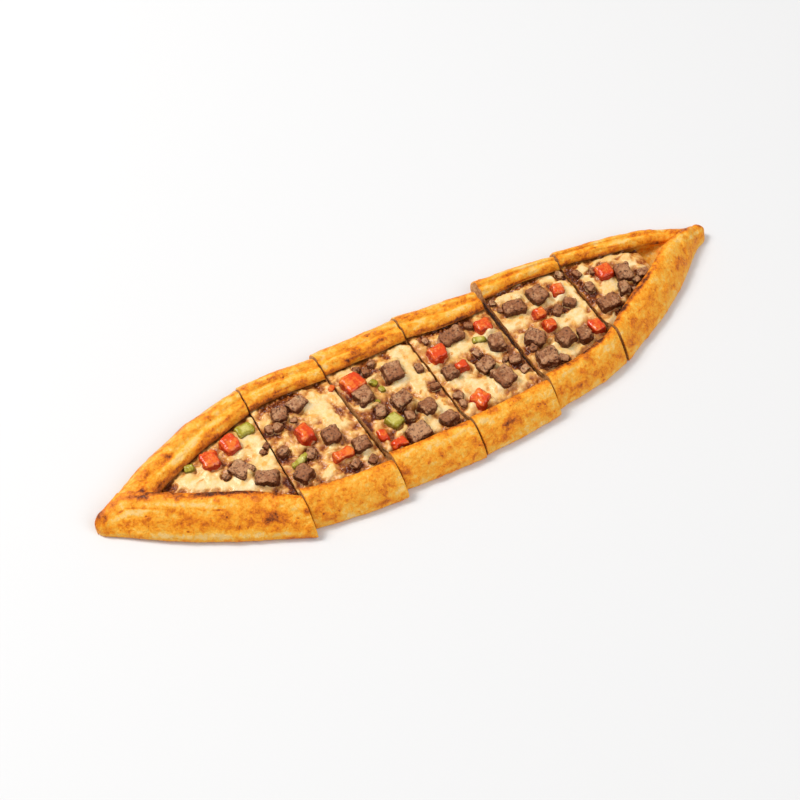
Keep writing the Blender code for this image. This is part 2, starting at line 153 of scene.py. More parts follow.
def through(points: Iterable[Point], count: int) -> list[list[float]]:
    """Points at equal steps along a smooth curve through the given ones.

    Args:
        points: what the curve goes through.
        count: how many points are wanted.

    Returns:
        The points along the curve.
    """
    points = list(points)
    ends = [points[0]] + points + [points[-1]]
    curve = []
    for before, start, stop, after in zip(ends, ends[1:], ends[2:], ends[3:]):
        for step in range(CURVE_STEPS):
            t = step / CURVE_STEPS
            curve.append([0.5 * (2 * b + (c - a) * t + (2 * a - 5 * b + 4 * c - d) * t * t
                                 + (3 * b - a - 3 * c + d) * t ** 3)
                          for a, b, c, d in zip(before, start, stop, after)])
    curve.append(list(points[-1]))
    return resample(curve, count)


def grain(places: np.ndarray, size: float, seed: float = 0.0) -> np.ndarray:
    """Smooth noise from about -1 to 1 at many places.

    Args:
        places: the places, one row each.
        size: how far apart its highs are, in metres.
        seed: moves the pattern.

    Returns:
        One number for each place.
    """
    shift = Vector((seed * 3.17, seed * 7.31, seed * 1.93))
    return np.array([noise.noise(Vector(place) / size + shift) for place in places])


def cells(places: np.ndarray, size: float, seed: float = 0.0) -> tuple[np.ndarray, np.ndarray]:
    """A pattern of lumps packed side by side.

    Args:
        places: the places, one row each.
        size: how wide a lump is, in metres.
        seed: moves the pattern.

    Returns:
        The dome of each lump, 1 at its middle and 0 at its edge, and a number that names the lump.
    """
    shift = Vector((seed * 5.3, seed * 2.9, seed * 4.7))
    dome = np.empty(len(places))
    name = np.empty(len(places))
    for index, place in enumerate(places):
        distances, middles = noise.voronoi(Vector(place) / size + shift)
        dome[index] = min((distances[1] - distances[0]) * LUMP_STEEPNESS, 1.0)
        name[index] = (math.sin(middles[0].x * SCRAMBLE[0] + middles[0].y * SCRAMBLE[1]) * SCRAMBLE[2]) % 1.0
    return dome, name


class Value:
    """A shader socket in an expression: arithmetic on it adds the Math nodes."""

    def __init__(self, shader: "Shader", socket: bpy.types.NodeSocket) -> None:
        """Wraps one output socket of a shader's node."""
        self.shader = shader
        self.socket = socket

    def __add__(self, other: "Operand") -> "Value":
        """self + other."""
        return self.shader.math("ADD", self, other)

    __radd__ = __add__

    def __sub__(self, other: "Operand") -> "Value":
        """self - other."""
        return self.shader.math("SUBTRACT", self, other)

    def __rsub__(self, other: "Operand") -> "Value":
        """other - self."""
        return self.shader.math("SUBTRACT", other, self)

    def __mul__(self, other: "Operand") -> "Value":
        """self * other."""
        return self.shader.math("MULTIPLY", self, other)

    __rmul__ = __mul__


Operand = Union[Value, float]


class Shader:
    """A material that is put together from nodes."""

    def __init__(self, name: str) -> None:
        """Makes the material with its Principled shader.

        Args:
            name: the material's name.
        """
        self.material = bpy.data.materials.new(name)
        self.material.use_nodes = True
        self.tree = self.material.node_tree
        self.surface = self.tree.nodes["Principled BSDF"]

    def node(self, kind: str, settings: dict[str, Any], sockets: dict[Any, Any], output: Any = 0) -> Value:
        """Adds a node.

        Args:
            kind: the node's type.
            settings: its own settings, set first; stops are a ramp's places and colours.
            sockets: a value or a link for each input named.
            output: which output is handed back.

        Returns:
            That output.
        """
        made = self.tree.nodes.new(kind)
        for key, setting in settings.items():
            if key == "stops":
                ramp = made.color_ramp.elements
                while len(ramp) < len(setting):
                    ramp.new(0.5)
                for element, (place, colour) in zip(ramp, setting):
                    element.position = place
                    element.color = colour
            else:
                setattr(made, key, setting)
        for key, value in sockets.items():
            self.feed(made.inputs[key], value)
        return Value(self, made.outputs[output])

    def feed(self, target: bpy.types.NodeSocket, value: Any) -> None:
        """Sets a socket to a constant or links a value to it.

        Args:
            target: the input socket.
            value: a number, a colour, or a value of this shader.
        """
        if isinstance(value, Value):
            self.tree.links.new(value.socket, target)
        else:
            target.default_value = value

    def math(self, operation: str, first: Operand, second: Operand) -> Value:
        """A Math node on two operands."""
        return self.node("ShaderNodeMath", {"operation": operation}, {0: first, 1: second})

    def distance(self, first: Value, second: Operand) -> Value:
        """How far two numbers are apart."""
        return self.node("ShaderNodeMath", {"operation": "ABSOLUTE"}, {0: first - second})

    def attribute(self, name: str) -> Value:
        """A number that the mesh holds for each point."""
        return self.node("ShaderNodeAttribute", {"attribute_name": name}, {}, "Fac")

    def places(self) -> Value:
        """Object coordinates."""
        return self.node("ShaderNodeTexCoord", {}, {}, "Object")

    def height(self) -> Value:
        """Height in object coordinates."""
        return self.node("ShaderNodeSeparateXYZ", {}, {0: self.places()}, 2)

    def upward(self) -> Value:
        """How much the surface faces up, 1 on a level top."""
        normal = self.node("ShaderNodeNewGeometry", {}, {}, "Normal")
        return self.node("ShaderNodeSeparateXYZ", {}, {0: normal}, 2)

    def noise(self, size: float, detail: float = 3.0, rough: float = 0.55, bend: float = 0.0) -> Value:
        """Noise of a given size.

        Args:
            size: how far apart its highs are, in metres.
            detail: how many finer octaves it has.
            rough: how strong they are.
            bend: how far it distorts itself.

        Returns:
            A number of about 0.2 to 0.8.
        """
        return self.node("ShaderNodeTexNoise", {}, {"Vector": self.places(), "Scale": 1 / size,
                                                    "Detail": detail, "Roughness": rough, "Distortion": bend})

    def specks(self, size: float) -> Value:
        """Distance to the nearest of many scattered points, 0 at a point."""
        return self.node("ShaderNodeTexVoronoi", {}, {"Vector": self.places(), "Scale": 1 / size})

    def rise(self, value: Operand, low: float, high: float, start: float = 0.0, end: float = 1.0) -> Value:
        """A smooth step.

        Args:
            value: the number looked at.
            low: where the step starts.
            high: where it ends.
            start: what it gives before.
            end: what it gives after.

        Returns:
            A number from start to end.
        """
        return self.node("ShaderNodeMapRange", {"interpolation_type": "SMOOTHSTEP"},
                         {"Value": value, "From Min": low, "From Max": high, "To Min": start, "To Max": end})

    def ramp(self, value: Operand, stops: list[tuple[float, Colour]]) -> Value:
        """A colour for each number, between the stops given."""
        return self.node("ShaderNodeValToRGB", {"stops": stops}, {"Fac": value})

    def blend(self, share: Operand, first: Any, second: Any) -> Value:
        """Mixes two colours.

        Args:
            share: how much of the second shows.
            first: the colour below.
            second: the colour above.

        Returns:
            The mixed colour.
        """
        return self.node("ShaderNodeMix", {"data_type": "RGBA"}, {0: share, 6: first, 7: second}, 2)

    def bump(self, height: Value, depth: float, under: Optional[Value] = None) -> Value:
        """A bumped normal.

        Args:
            height: the relief.
            depth: its depth in metres.
            under: a normal that is bumped already.

        Returns:
            The new normal.
        """
        sockets: dict[Any, Any] = {"Height": height, "Distance": depth, "Strength": 1.0}
        if under is not None:
            sockets["Normal"] = under
        return self.node("ShaderNodeBump", {}, sockets)

    def close(self, colour: Any, roughness: Operand, normal: Optional[Value] = None,
              **constants: Any) -> bpy.types.Material:
        """Feeds the Principled shader.

        Args:
            colour: its base colour.
            roughness: its roughness.
            normal: its normal.
            constants: the sockets that are the same all over, with _ for each space in a name.

        Returns:
            The finished material.
        """
        self.feed(self.surface.inputs["Base Color"], colour)
        self.feed(self.surface.inputs["Roughness"], roughness)
        if normal is not None:
            self.feed(self.surface.inputs["Normal"], normal)
        for name, value in constants.items():
            self.surface.inputs[name.replace("_", " ")].default_value = value
        return self.material


@dataclass(frozen=True)
class CrustFinish:
    """Baked dough: pale where it was folded away from the heat, golden, and brown where it blistered."""

    cream: Colour = (0.95, 0.60, 0.20, 1)
    pale: Colour = (0.98, 0.50, 0.055, 1)
    golden: Colour = (0.97, 0.345, 0.009, 1)
    orange: Colour = (0.78, 0.195, 0.003, 1)
    brown: Colour = (0.48, 0.100, 0.003, 1)
    scorched: Colour = (0.10, 0.020, 0.003, 1)
    crumb: Colour = (0.80, 0.47, 0.19, 1)
    crumb_pore: Colour = (0.50, 0.19, 0.045, 1)
    # Brown for grease in the channel under the filling, and painted shade under the lips and along the back
    # rim's inner edge.
    grease_and_shade_brown: Colour = (0.25, 0.075, 0.012, 1)
    fine_size: float = 2.1 * MM
    mottle_size: float = 5.5 * MM
    crack_size: float = 4.2 * MM
    spot_size: float = 6.5 * MM
    pore_size: float = 1.3 * MM
    skin_size: float = 0.8 * MM
    skin_depth: float = 0.18 * MM
    wrinkle_size: float = 2.6 * MM
    wrinkle_depth: float = 0.95 * MM

    def material(self) -> bpy.types.Material:
        """The crust's material."""
        s = Shader("crust")
        bake = s.attribute("bake")
        fine = s.noise(self.fine_size, 4, 0.62, bend=0.6)
        mottle = s.noise(self.mottle_size, 4, 0.60, bend=0.7)
        crack = s.distance(s.noise(self.crack_size, 5, 0.6, bend=1.2), 0.5)
        tone = (bake + (mottle - 0.5) * 0.98 + (fine - 0.5) * 0.86 + s.rise(crack, 0.0, 0.025, 0.16, 0)
                + s.rise(s.specks(self.spot_size), 0.04, 0.14, 0.34, 0) * s.rise(mottle, 0.46, 0.54))
        skin = s.ramp(tone, [(0.0, self.cream), (0.19, self.pale), (0.42, self.golden), (0.62, self.orange),
                             (0.82, self.brown), (1.0, self.scorched)])
        pores = s.noise(self.pore_size, 3, 0.7)
        crumb = s.blend(s.rise(pores, 0.42, 0.62), self.crumb_pore, self.crumb)
        # The grease attribute lays this brown on: grease in the channel, painted shade at the rims' inner
        # edges.
        skin = s.blend(s.attribute("grease"), skin, self.grease_and_shade_brown)
        colour = s.blend(s.attribute("cut"), skin, crumb)
        normal = s.bump(s.noise(self.skin_size, 4, 0.65), self.skin_depth)
        normal = s.bump(s.noise(self.wrinkle_size, 4, 0.6, bend=0.8), self.wrinkle_depth, normal)
        roughness = s.rise(tone, 0.1, 0.9, 0.50, 0.34) + s.attribute("cut") * 0.25
        return s.close(colour, roughness, normal, Specular_IOR_Level=0.26)


@dataclass(frozen=True)
class FillingFinish:
    """Melted cheese over mince and juices, toasted in spots."""

    white: Colour = (0.96, 0.80, 0.50, 1)
    cheese: Colour = (0.94, 0.64, 0.27, 1)
    yellow: Colour = (0.93, 0.52, 0.10, 1)
    milky: Colour = (0.80, 0.40, 0.11, 1)
    juice: Colour = (0.58, 0.215, 0.045, 1)
    tan: Colour = (0.42, 0.13, 0.026, 1)
    mince: Colour = (0.29, 0.068, 0.010, 1)
    gap: Colour = (0.12, 0.020, 0.003, 1)
    toast: Colour = (0.88, 0.38, 0.035, 1)
    toast_dark: Colour = (0.56, 0.16, 0.012, 1)
    # Painted shade: darkens the filling's pits, its edges along the rims and its sides under them.
    deep: Colour = (0.13, 0.028, 0.004, 1)
    knife: Colour = (0.34, 0.115, 0.022, 1)
    knife_dark: Colour = (0.085, 0.020, 0.004, 1)
    fine_size: float = 1.0 * MM
    soft_size: float = 3.2 * MM
    fleck_size: float = 4.4 * MM
    rich_size: float = 7 * MM
    layers: Point = (6.4 * MM, 8.6 * MM)
    cut_face_warp: Point = (9 * MM, 5 * MM)
    relief: float = 0.22 * MM
    scatter_depth: float = 1.0 * MM

    def material(self) -> bpy.types.Material:
        """The filling's material."""
        s = Shader("filling")
        fine = s.noise(self.fine_size, 4, 0.65)
        soft = s.noise(self.soft_size, 4, 0.6, bend=0.8)
        melt = s.attribute("melt") + (fine - 0.5) * 0.26 + (soft - 0.5) * 0.28
        colour = s.ramp(melt, [(0.02, self.gap), (0.16, self.mince), (0.32, self.tan), (0.46, self.juice),
                               (0.60, self.milky), (0.76, self.cheese), (1.0, self.white)])
        toast = s.attribute("toast") * 0.78 + (fine - 0.5) * 1.0 + (soft - 0.5) * 0.9
        toast = toast + s.rise(s.noise(self.fleck_size, 3, 0.6, bend=1.5), 0.54, 0.70, 0, 0.5)
        cheesy = s.rise(melt, 0.45, 0.7)
        rich = s.rise(s.noise(self.rich_size, 3, 0.6, bend=1.0), 0.48, 0.66)
        colour = s.blend(rich * cheesy * 0.6, colour, self.yellow)
        colour = s.blend(s.rise(toast, 0.15, 0.95) * cheesy * 0.75, colour, self.toast)
        colour = s.blend(s.rise(toast, 0.85, 1.30) * cheesy * 0.85, colour, self.toast_dark)
        # Painted shade, laid on by the depth attribute.
        colour = s.blend(s.attribute("depth"), colour, self.deep)
        warped = s.height() + (soft - 0.5) * self.cut_face_warp[0] + (fine - 0.5) * self.cut_face_warp[1]
        # The cut face is darker towards its bottom.
        layers = s.rise(warped, *self.layers)
        knife = s.blend(s.rise(soft, 0.4, 0.6), self.knife, self.juice)
        colour = s.blend(s.attribute("cut"), colour, s.blend(layers, self.knife_dark, knife))
        normal = s.bump(fine, self.relief)
        roughness = s.rise(soft, 0.35, 0.65, 0.15, 0.36)
        return s.close(colour, roughness, normal, Specular_IOR_Level=0.5, Subsurface_Weight=0.10,
                       Subsurface_Radius=(1.0, 0.45, 0.2), Subsurface_Scale=self.scatter_depth)


@dataclass(frozen=True)
class ToppingFinish:
    """A diced topping with melted cheese that creeps up its sides and smears its top; its sides are painted
    darker than its top, as shade.
    """

    name: str
    top: Colour
    pale: Colour
    # The side colour is painted shade, for faces that turn away from up.
    side: Colour
    pit: Colour
    pit_share: float
    grain: float
    relief: float
    shine: Point
    cheese: Colour = (0.86, 0.62, 0.31, 1)
    creep: float = 11.3 * MM
    smear: Point = (0.62, 0.76)
    scatter: float = 0.0
    gleam: float = 0.5
    core: Optional[Colour] = None
    patch_size: float = 3.6 * MM
    whole_size: float = 17 * MM
    film_size: float = 5.0 * MM
    creep_warp: float = 9 * MM
    creep_edge: float = 0.9 * MM
    scatter_depth: float = 1.0 * MM

    def material(self) -> bpy.types.Material:
        """The topping's material."""
        s = Shader(self.name)
        fine = s.noise(self.grain, 4, 0.68)
        patch = s.noise(self.patch_size, 3, 0.6, bend=0.4)
        whole = s.noise(self.whole_size, 1, 0.5)
        up = s.upward()
        paleness = s.rise(patch + (whole - 0.5) * 0.8 + (fine - 0.5) * 0.6, 0.40, 0.70)
        top = s.blend(paleness, self.top, self.pale)
        # Painted shade: faces turned away from up take the darker side colour, upward ones the top colour.
        colour = s.blend(s.rise(up + (patch - 0.5) * 0.9, 0.20, 0.85), self.side, top)
        colour = s.blend(s.rise(fine, 0.33, 0.50, self.pit_share, 0), colour, self.pit)
        if self.core:
            colour = s.blend(s.attribute("core") * s.rise(fine, 0.25, 0.55, 0.6, 1), colour, self.core)
        uneven = (s.noise(self.film_size, 3, 0.6) - 0.5) * self.creep_warp
        creep = s.rise(self.creep - s.height() + uneven, 0, self.creep_edge)
        film = s.noise(self.film_size, 4, 0.62, bend=1.0) + (whole - 0.5) * 0.35
        smear = s.rise(film, *self.smear) * s.rise(up, 0.1, 0.6)
        colour = s.blend(smear * 0.75, colour, self.cheese)
        colour = s.blend(creep * 0.85, colour, self.cheese)
        normal = s.bump(fine, self.relief)
        return s.close(colour, s.rise(fine, 0.3, 0.7, *self.shine), normal, Specular_IOR_Level=self.gleam,
                       Subsurface_Weight=self.scatter, Subsurface_Radius=(1.0, 0.3, 0.1),
                       Subsurface_Scale=self.scatter_depth)


MEAT = ToppingFinish("meat", (0.35, 0.120, 0.038, 1), (0.56, 0.275, 0.125, 1), (0.115, 0.022, 0.003, 1),
                     (0.020, 0.004, 0.001, 1), 0.90, 1.5 * MM, 0.80 * MM, (0.55, 0.26), gleam=0.4)
TOMATO = ToppingFinish("tomato", (0.76, 0.062, 0.005, 1), (0.88, 0.20, 0.022, 1), (0.42, 0.018, 0.003, 1),
                       (0.50, 0.035, 0.005, 1), 0.35, 1.6 * MM, 0.16 * MM, (0.10, 0.24),
                       cheese=(0.88, 0.47, 0.24, 1), creep=11.3 * MM, smear=(0.60, 0.78), scatter=0.12)
PEPPER = ToppingFinish("pepper", (0.36, 0.30, 0.012, 1), (0.50, 0.40, 0.040, 1), (0.20, 0.15, 0.008, 1),
                       (0.20, 0.13, 0.010, 1), 0.4, 1.3 * MM, 0.2 * MM, (0.16, 0.34), creep=10.2 * MM,
                       smear=(0.66, 0.82), scatter=0.06, core=(0.62, 0.54, 0.13, 1))


@dataclass(frozen=True)
class FloorFinish:
    """A plain pale studio floor."""

    colour: Colour = (0.79, 0.79, 0.795, 1)
    haze: Colour = (0.80, 0.80, 0.80, 1)
    haze_size: float = 0.4
    paper_size: float = 1.5 * MM
    paper_depth: float = 0.01 * MM

    def material(self) -> bpy.types.Material:
        """The floor's material."""
        s = Shader("studio_floor")
        colour = s.blend(s.noise(self.haze_size, 2, 0.5) * 0.04, self.colour, self.haze)
        normal = s.bump(s.noise(self.paper_size, 2, 0.5), self.paper_depth)
        return s.close(colour, 0.6, normal, Specular_IOR_Level=0.2)


@dataclass(frozen=True)
class Boat:
    """Sizes of the whole pide, the same as the CAD model's."""

    length: float = 432.4 * MM
    widest_at: float = -19.5 * MM
    half_width: float = 55.7 * MM
    power_left: float = 2.8
    power_right: float = 3.1
    tip_radius: float = 5.5 * MM
    bow_middle: float = 5.5 * MM
    bow_left: float = 10 * MM
    bow_right: float = 23 * MM
    bow_span: float = 214 * MM
    box_middle: float = 0.46 * MM
    front_height: float = 18.1 * MM
    front_height_left_extra: float = 1.4 * MM
    left_extra_span: Point = (-140 * MM, -100 * MM)
    back_height: float = 16 * MM
    base_thickness: float = 4 * MM
    tip_height_share: float = 0.5
    tip_end_height_share: float = 0.6
    narrow: float = 2 * MM
    wide: float = 26 * MM
    flap: float = 2 * MM
    undercut: float = 1.6 * MM
    lip_depth: float = 3 * MM
    seam: float = 0.3 * MM
    seam_depth: float = 0.5 * MM
    lip_stop: float = 0.12
    back_foot: float = 3 * MM
    corner_reach: float = 13 * MM
    unevenness: float = 0.7 * MM
    wander_size: float = 23 * MM
    foot_full_width: float = 16 * MM
    right_inset: float = 2 * MM
    inset_starts: Point = (105 * MM, 132 * MM)
    inset_stops: Point = (204 * MM, 214 * MM)
    front_rim_steps: tuple[Step, ...] = ((7.3, -90, -135), (-2.2, 20, 75), (6.5, 100, 146), (-12, 176, 211))
    front_rim_middle: float = 18.7
    back_rim_steps: tuple[Step, ...] = ((-4, -165, -75), (-7, 25, 105))
    back_rim_left: float = 24
    front_bulge: float = 1.2 * MM
    foot_outline: tuple[Point, ...] = ((3.0 * MM, 0.0), (0.9 * MM, 0.055), (0.1 * MM, 0.19))
    front_outline: tuple[Point, ...] = ((0.13, 0.45), (0.43, 0.79), (0.74, 1.0), (0.95, 0.97), (1.0, 0.90))
    back_outline: tuple[Point, ...] = ((0.0, 0.70), (0.1, 0.85), (0.26, 0.97), (0.42, 0.93), (0.58, 1.0),
                                       (0.82, 0.84), (1.0, 0.47), (0.97, 0.16), (0.84, 0.0))

    def tip_rounding(self, x: float) -> float:
        """0 at either tip, rising in a quarter circle to 1 one tip radius further in."""
        inset = min((self.length / 2 - abs(x)) / self.tip_radius, 1)
        return math.sqrt(max(1 - (1 - inset) ** 2, 0))

    def half(self, x: float) -> float:
        """Half the width of the uncut pide at x."""
        if x < self.widest_at:
            boat = 1 - ((self.widest_at - x) / (self.widest_at + self.length / 2)) ** self.power_left
        else:
            boat = 1 - ((x - self.widest_at) / (self.length / 2 - self.widest_at)) ** self.power_right
        return math.hypot(self.half_width * boat, self.tip_radius) * self.tip_rounding(x)

    def middle(self, x: float) -> float:
        """Where the bowed centre line is at x."""
        bow = self.bow_left if x < self.bow_middle else self.bow_right
        return bow * ((x - self.bow_middle) / self.bow_span) ** 2 - self.box_middle

    def inset(self, x: float) -> float:
        """How far the front edge is drawn in along the last slice."""
        return self.right_inset * smooth(x, *self.inset_starts) * (1 - smooth(x, *self.inset_stops))

    def rim(self, x: float, start: float, steps: tuple[Step, ...]) -> float:
        """Width of a rim at x.

        Args:
            x: the place along the pide.
            start: the width that the steps are added to, in millimetres.
            steps: how much each adds, where it begins and where it is whole, in millimetres.

        Returns:
            The width in metres.
        """
        return (start + sum(added * smooth(x, low * MM, high * MM) for added, low, high in steps)) * MM

    def wander(self, x: float, row: int) -> float:
        """A slow wander along the pide, different for each row."""
        return self.unevenness * noise.noise(Vector((x / self.wander_size, row * 7.3, 0.5)))


class Area(Enum):
    """What lies on top of the filling in a patch; DEEP marks a pit darkened with painted shade."""

    CHEESE = "cheese"
    MINCE = "mince"
    TOAST = "toast"
    DEEP = "depth"


@dataclass(frozen=True)
class Patch:
    """A patch of the filling's top, in millimetres: its middle, its half sizes and its turn in degrees."""

    area: Area
    x: float
    y: float
    along: float
    across: float
    turn: float = 0.0


@dataclass(frozen=True)
class Blotch:
    """A browned or pale spot on a rim: x in millimetres, share of the rim's outline, half sizes, tone."""

    x: float
    share: float
    along: float
    across: float
    tone: float


@dataclass(frozen=True)
class Crumb:
    """A small loose bit of meat, pepper or tomato that lies on the filling, in millimetres."""

    x: float
    y: float
    size: float
    kind: str = "meat"


@dataclass(frozen=True)
class Cut:
    """One slice as the knife left it, in millimetres, the same as in the CAD model."""

    number: int
    start: float
    end: float
    shift: Point
    widen: Point
    lean: Point
    gap: Point
    ease: float
    filling: Point
    patches: tuple[Patch, ...] = ()
    crumbs: tuple[Crumb, ...] = ()
    front_blotches: tuple[Blotch, ...] = ()
    back_blotches: tuple[Blotch, ...] = ()


class Section:
    """The crust's cross-section at one place along a slice, with finer outlines than the CAD model's."""

    front_count: int = 84
    back_draft_count: int = 60
    back_count: int = 84
    level_count: int = 9
    under_count: int = 14

    def __init__(self, boat: Boat, cut: Cut, x: float) -> None:
        """Works out the section.

        Args:
            boat: sizes of the whole pide.
            cut: the slice.
            x: the place along it.
        """
        self.boat = boat
        start, end = cut.start * MM, cut.end * MM
        share = min(max((x - start) / (end - start), 0), 1)
        eased = share ** cut.ease
        half = boat.half(x) + mix(*cut.widen, eased) * MM
        self.middle = boat.middle(x) + mix(*cut.shift, eased) * MM
        broad = smooth(half, boat.narrow, boat.wide)
        low = mix(boat.tip_height_share, 1, broad) * mix(boat.tip_end_height_share, 1, boat.tip_rounding(x))
        bulge = boat.front_bulge * broad
        self.front = self.middle - half + boat.wander(x, 1) + boat.inset(x) - bulge
        self.back = self.middle + half + boat.wander(x, 2)
        extra = boat.front_height_left_extra * (1 - smooth(x, *boat.left_extra_span))
        self.front_height = (boat.front_height + extra + boat.wander(x, 3)) * low
        self.back_height = (boat.back_height + boat.wander(x, 4)) * low
        stop = mix(self.back, self.front, boat.lip_stop)
        front_rim = boat.rim(x, boat.front_rim_middle, boat.front_rim_steps)
        back_rim = boat.rim(x, boat.back_rim_left, boat.back_rim_steps)
        self.lip = min(self.front + bulge + front_rim + boat.wander(x, 5), stop)
        self.edge = self.back - back_rim + boat.wander(x, 6)
        self.open = smooth(self.edge - self.lip, 0, boat.corner_reach)
        self.lean = mix(*cut.lean, share)

    def parts(self) -> tuple[list[list[float]], list[list[float]], list[list[float]], list[list[float]]]:
        """The outline in four runs: front rim, channel, back rim and underside.

        Returns:
            The points of each run, as Y and Z.
        """
        boat = self.boat
        width = self.back - self.edge
        back = through([(self.edge + width * across, self.back_height * up)
                        for across, up in boat.back_outline], self.back_draft_count)
        back = [point for point in back if point[0] > self.lip + boat.seam or point[1] < boat.back_foot]
        height = self.front_height
        if self.edge < self.lip:
            height = max(height, (back[0][1] + boat.flap) / boat.front_outline[-1][1])
        width = self.lip - self.front
        foot_share = min(width / boat.foot_full_width, 1)
        foot = [(self.front + inset * foot_share, height * up) for inset, up in boat.foot_outline]
        front = through(foot + [(self.front + width * across, height * up)
                                for across, up in boat.front_outline], self.front_count)
        floor = mix(min(front[-1][1] - boat.flap, back[0][1]), boat.base_thickness, self.open)
        wall = boat.undercut * self.open
        front_wall = self.lip - wall
        back_wall = max(self.edge, self.lip + boat.seam / 3) + wall
        under_lip = [front_wall, front[-1][1] - mix(boat.seam_depth, boat.lip_depth, self.open)]
        under_edge = [back_wall, mix(floor, back[0][1] - boat.seam_depth, mix(0.2, 1, self.open))]
        level = [[mix(front_wall, back_wall, step / (self.level_count - 1)), floor]
                 for step in range(self.level_count)]
        back = resample(back, self.back_count)
        under = [[mix(back[-1][0], front[0][0], step / (self.under_count + 1)), 0.0]
                 for step in range(1, self.under_count + 1)]
        return front, [under_lip] + level + [under_edge], back, under

    def walls(self) -> tuple[float, float, float]:
        """Height of the channel's floor, and where its front and back walls stand."""
        level = self.parts()[1][1:-1]
        return level[0][1], level[0][0], level[-1][0]


def deselect() -> None:
    """Leaves nothing selected, in object mode."""
    if bpy.context.object and bpy.context.object.mode != "OBJECT":
        bpy.ops.object.mode_set(mode="OBJECT")
    bpy.ops.object.select_all(action="DESELECT")


def grid_sheet(name: str, places: np.ndarray) -> bpy.types.Object:
    """A sheet of faces shaped from Blender's grid.

    Args:
        name: the object's name.
        places: rows x columns x 3 places of its points.

    Returns:
        The new object, selected and active.
    """
    rows, columns = places.shape[:2]
    deselect()
    bpy.ops.mesh.primitive_grid_add(x_subdivisions=columns - 1, y_subdivisions=rows - 1, size=1)
    sheet = bpy.context.object
    sheet.name = sheet.data.name = name
    sheet.data.vertices.foreach_set("co", places.reshape(-1))
    sheet.data.update()
    return sheet


def store(thing: bpy.types.Object, name: str, values: np.ndarray) -> None:
    """Keeps a number for each point of a mesh.

    Args:
        thing: the object.
        name: what the number is called.
        values: the numbers.
    """
    thing.data.attributes.new(name, "FLOAT", "POINT").data.foreach_set("value", values.astype(np.float32))


def cap_ends(thing: bpy.types.Object, rim: float) -> None:
    """Closes the two open ends of a tube with flat faces, each cut one with a narrow border.

    An end less than SMALL_END borders high or deep is a pinched tip or a run-out, which no knife has cut.

    Args:
        thing: the tube.
        rim: width of the border.
    """
    deselect()
    thing.select_set(True)
    bpy.context.view_layer.objects.active = thing
    bpy.ops.object.mode_set(mode="EDIT")
    bpy.ops.mesh.select_all(action="SELECT")
    bpy.ops.mesh.remove_doubles(threshold=WELD)
    shape = bmesh.from_edit_mesh(thing.data)
    cut = shape.verts.layers.float.get("cut") or shape.verts.layers.float.new("cut")
    ends = bmesh.ops.holes_fill(shape, edges=[edge for edge in shape.edges if edge.is_boundary], sides=0)
    bmesh.ops.recalc_face_normals(shape, faces=shape.faces)
    for face in ends["faces"]:
        heights = [vert.co.z for vert in face.verts]
        depths = [vert.co.y for vert in face.verts]
        if min(max(heights) - min(heights), max(depths) - min(depths)) < SMALL_END * rim:
            continue
        bmesh.ops.inset_region(shape, faces=[face], thickness=rim, use_even_offset=False)
        for vert in face.verts:
            vert[cut] = 1.0
    shape.normal_update()
    bmesh.ops.triangulate(shape, faces=[face for face in shape.faces if len(face.verts) > 4])
    bmesh.ops.recalc_face_normals(shape, faces=shape.faces)
    if shape.calc_volume(signed=True) < 0:
        bmesh.ops.reverse_faces(shape, faces=shape.faces)
    bmesh.update_edit_mesh(thing.data)
    bpy.ops.object.mode_set(mode="OBJECT")
    bpy.ops.object.shade_smooth_by_angle(angle=SHARP_ANGLE)


def dress(piece: bpy.types.Object, material: bpy.types.Material, slot: str, *nodes: str) -> None:
    """Gives a finished piece its material and ties it to the CAD model.

    Args:
        piece: the piece.
        material: its material.
        slot: the record's material slot; not used.
        nodes: the CAD nodes that it stands for.
    """
    piece.data.materials.clear()
    piece.data.materials.append(material)
    if nodes:
        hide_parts(*nodes)
    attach(piece, "root")
    log.info("%s: %d faces", piece.name, len(piece.data.polygons))


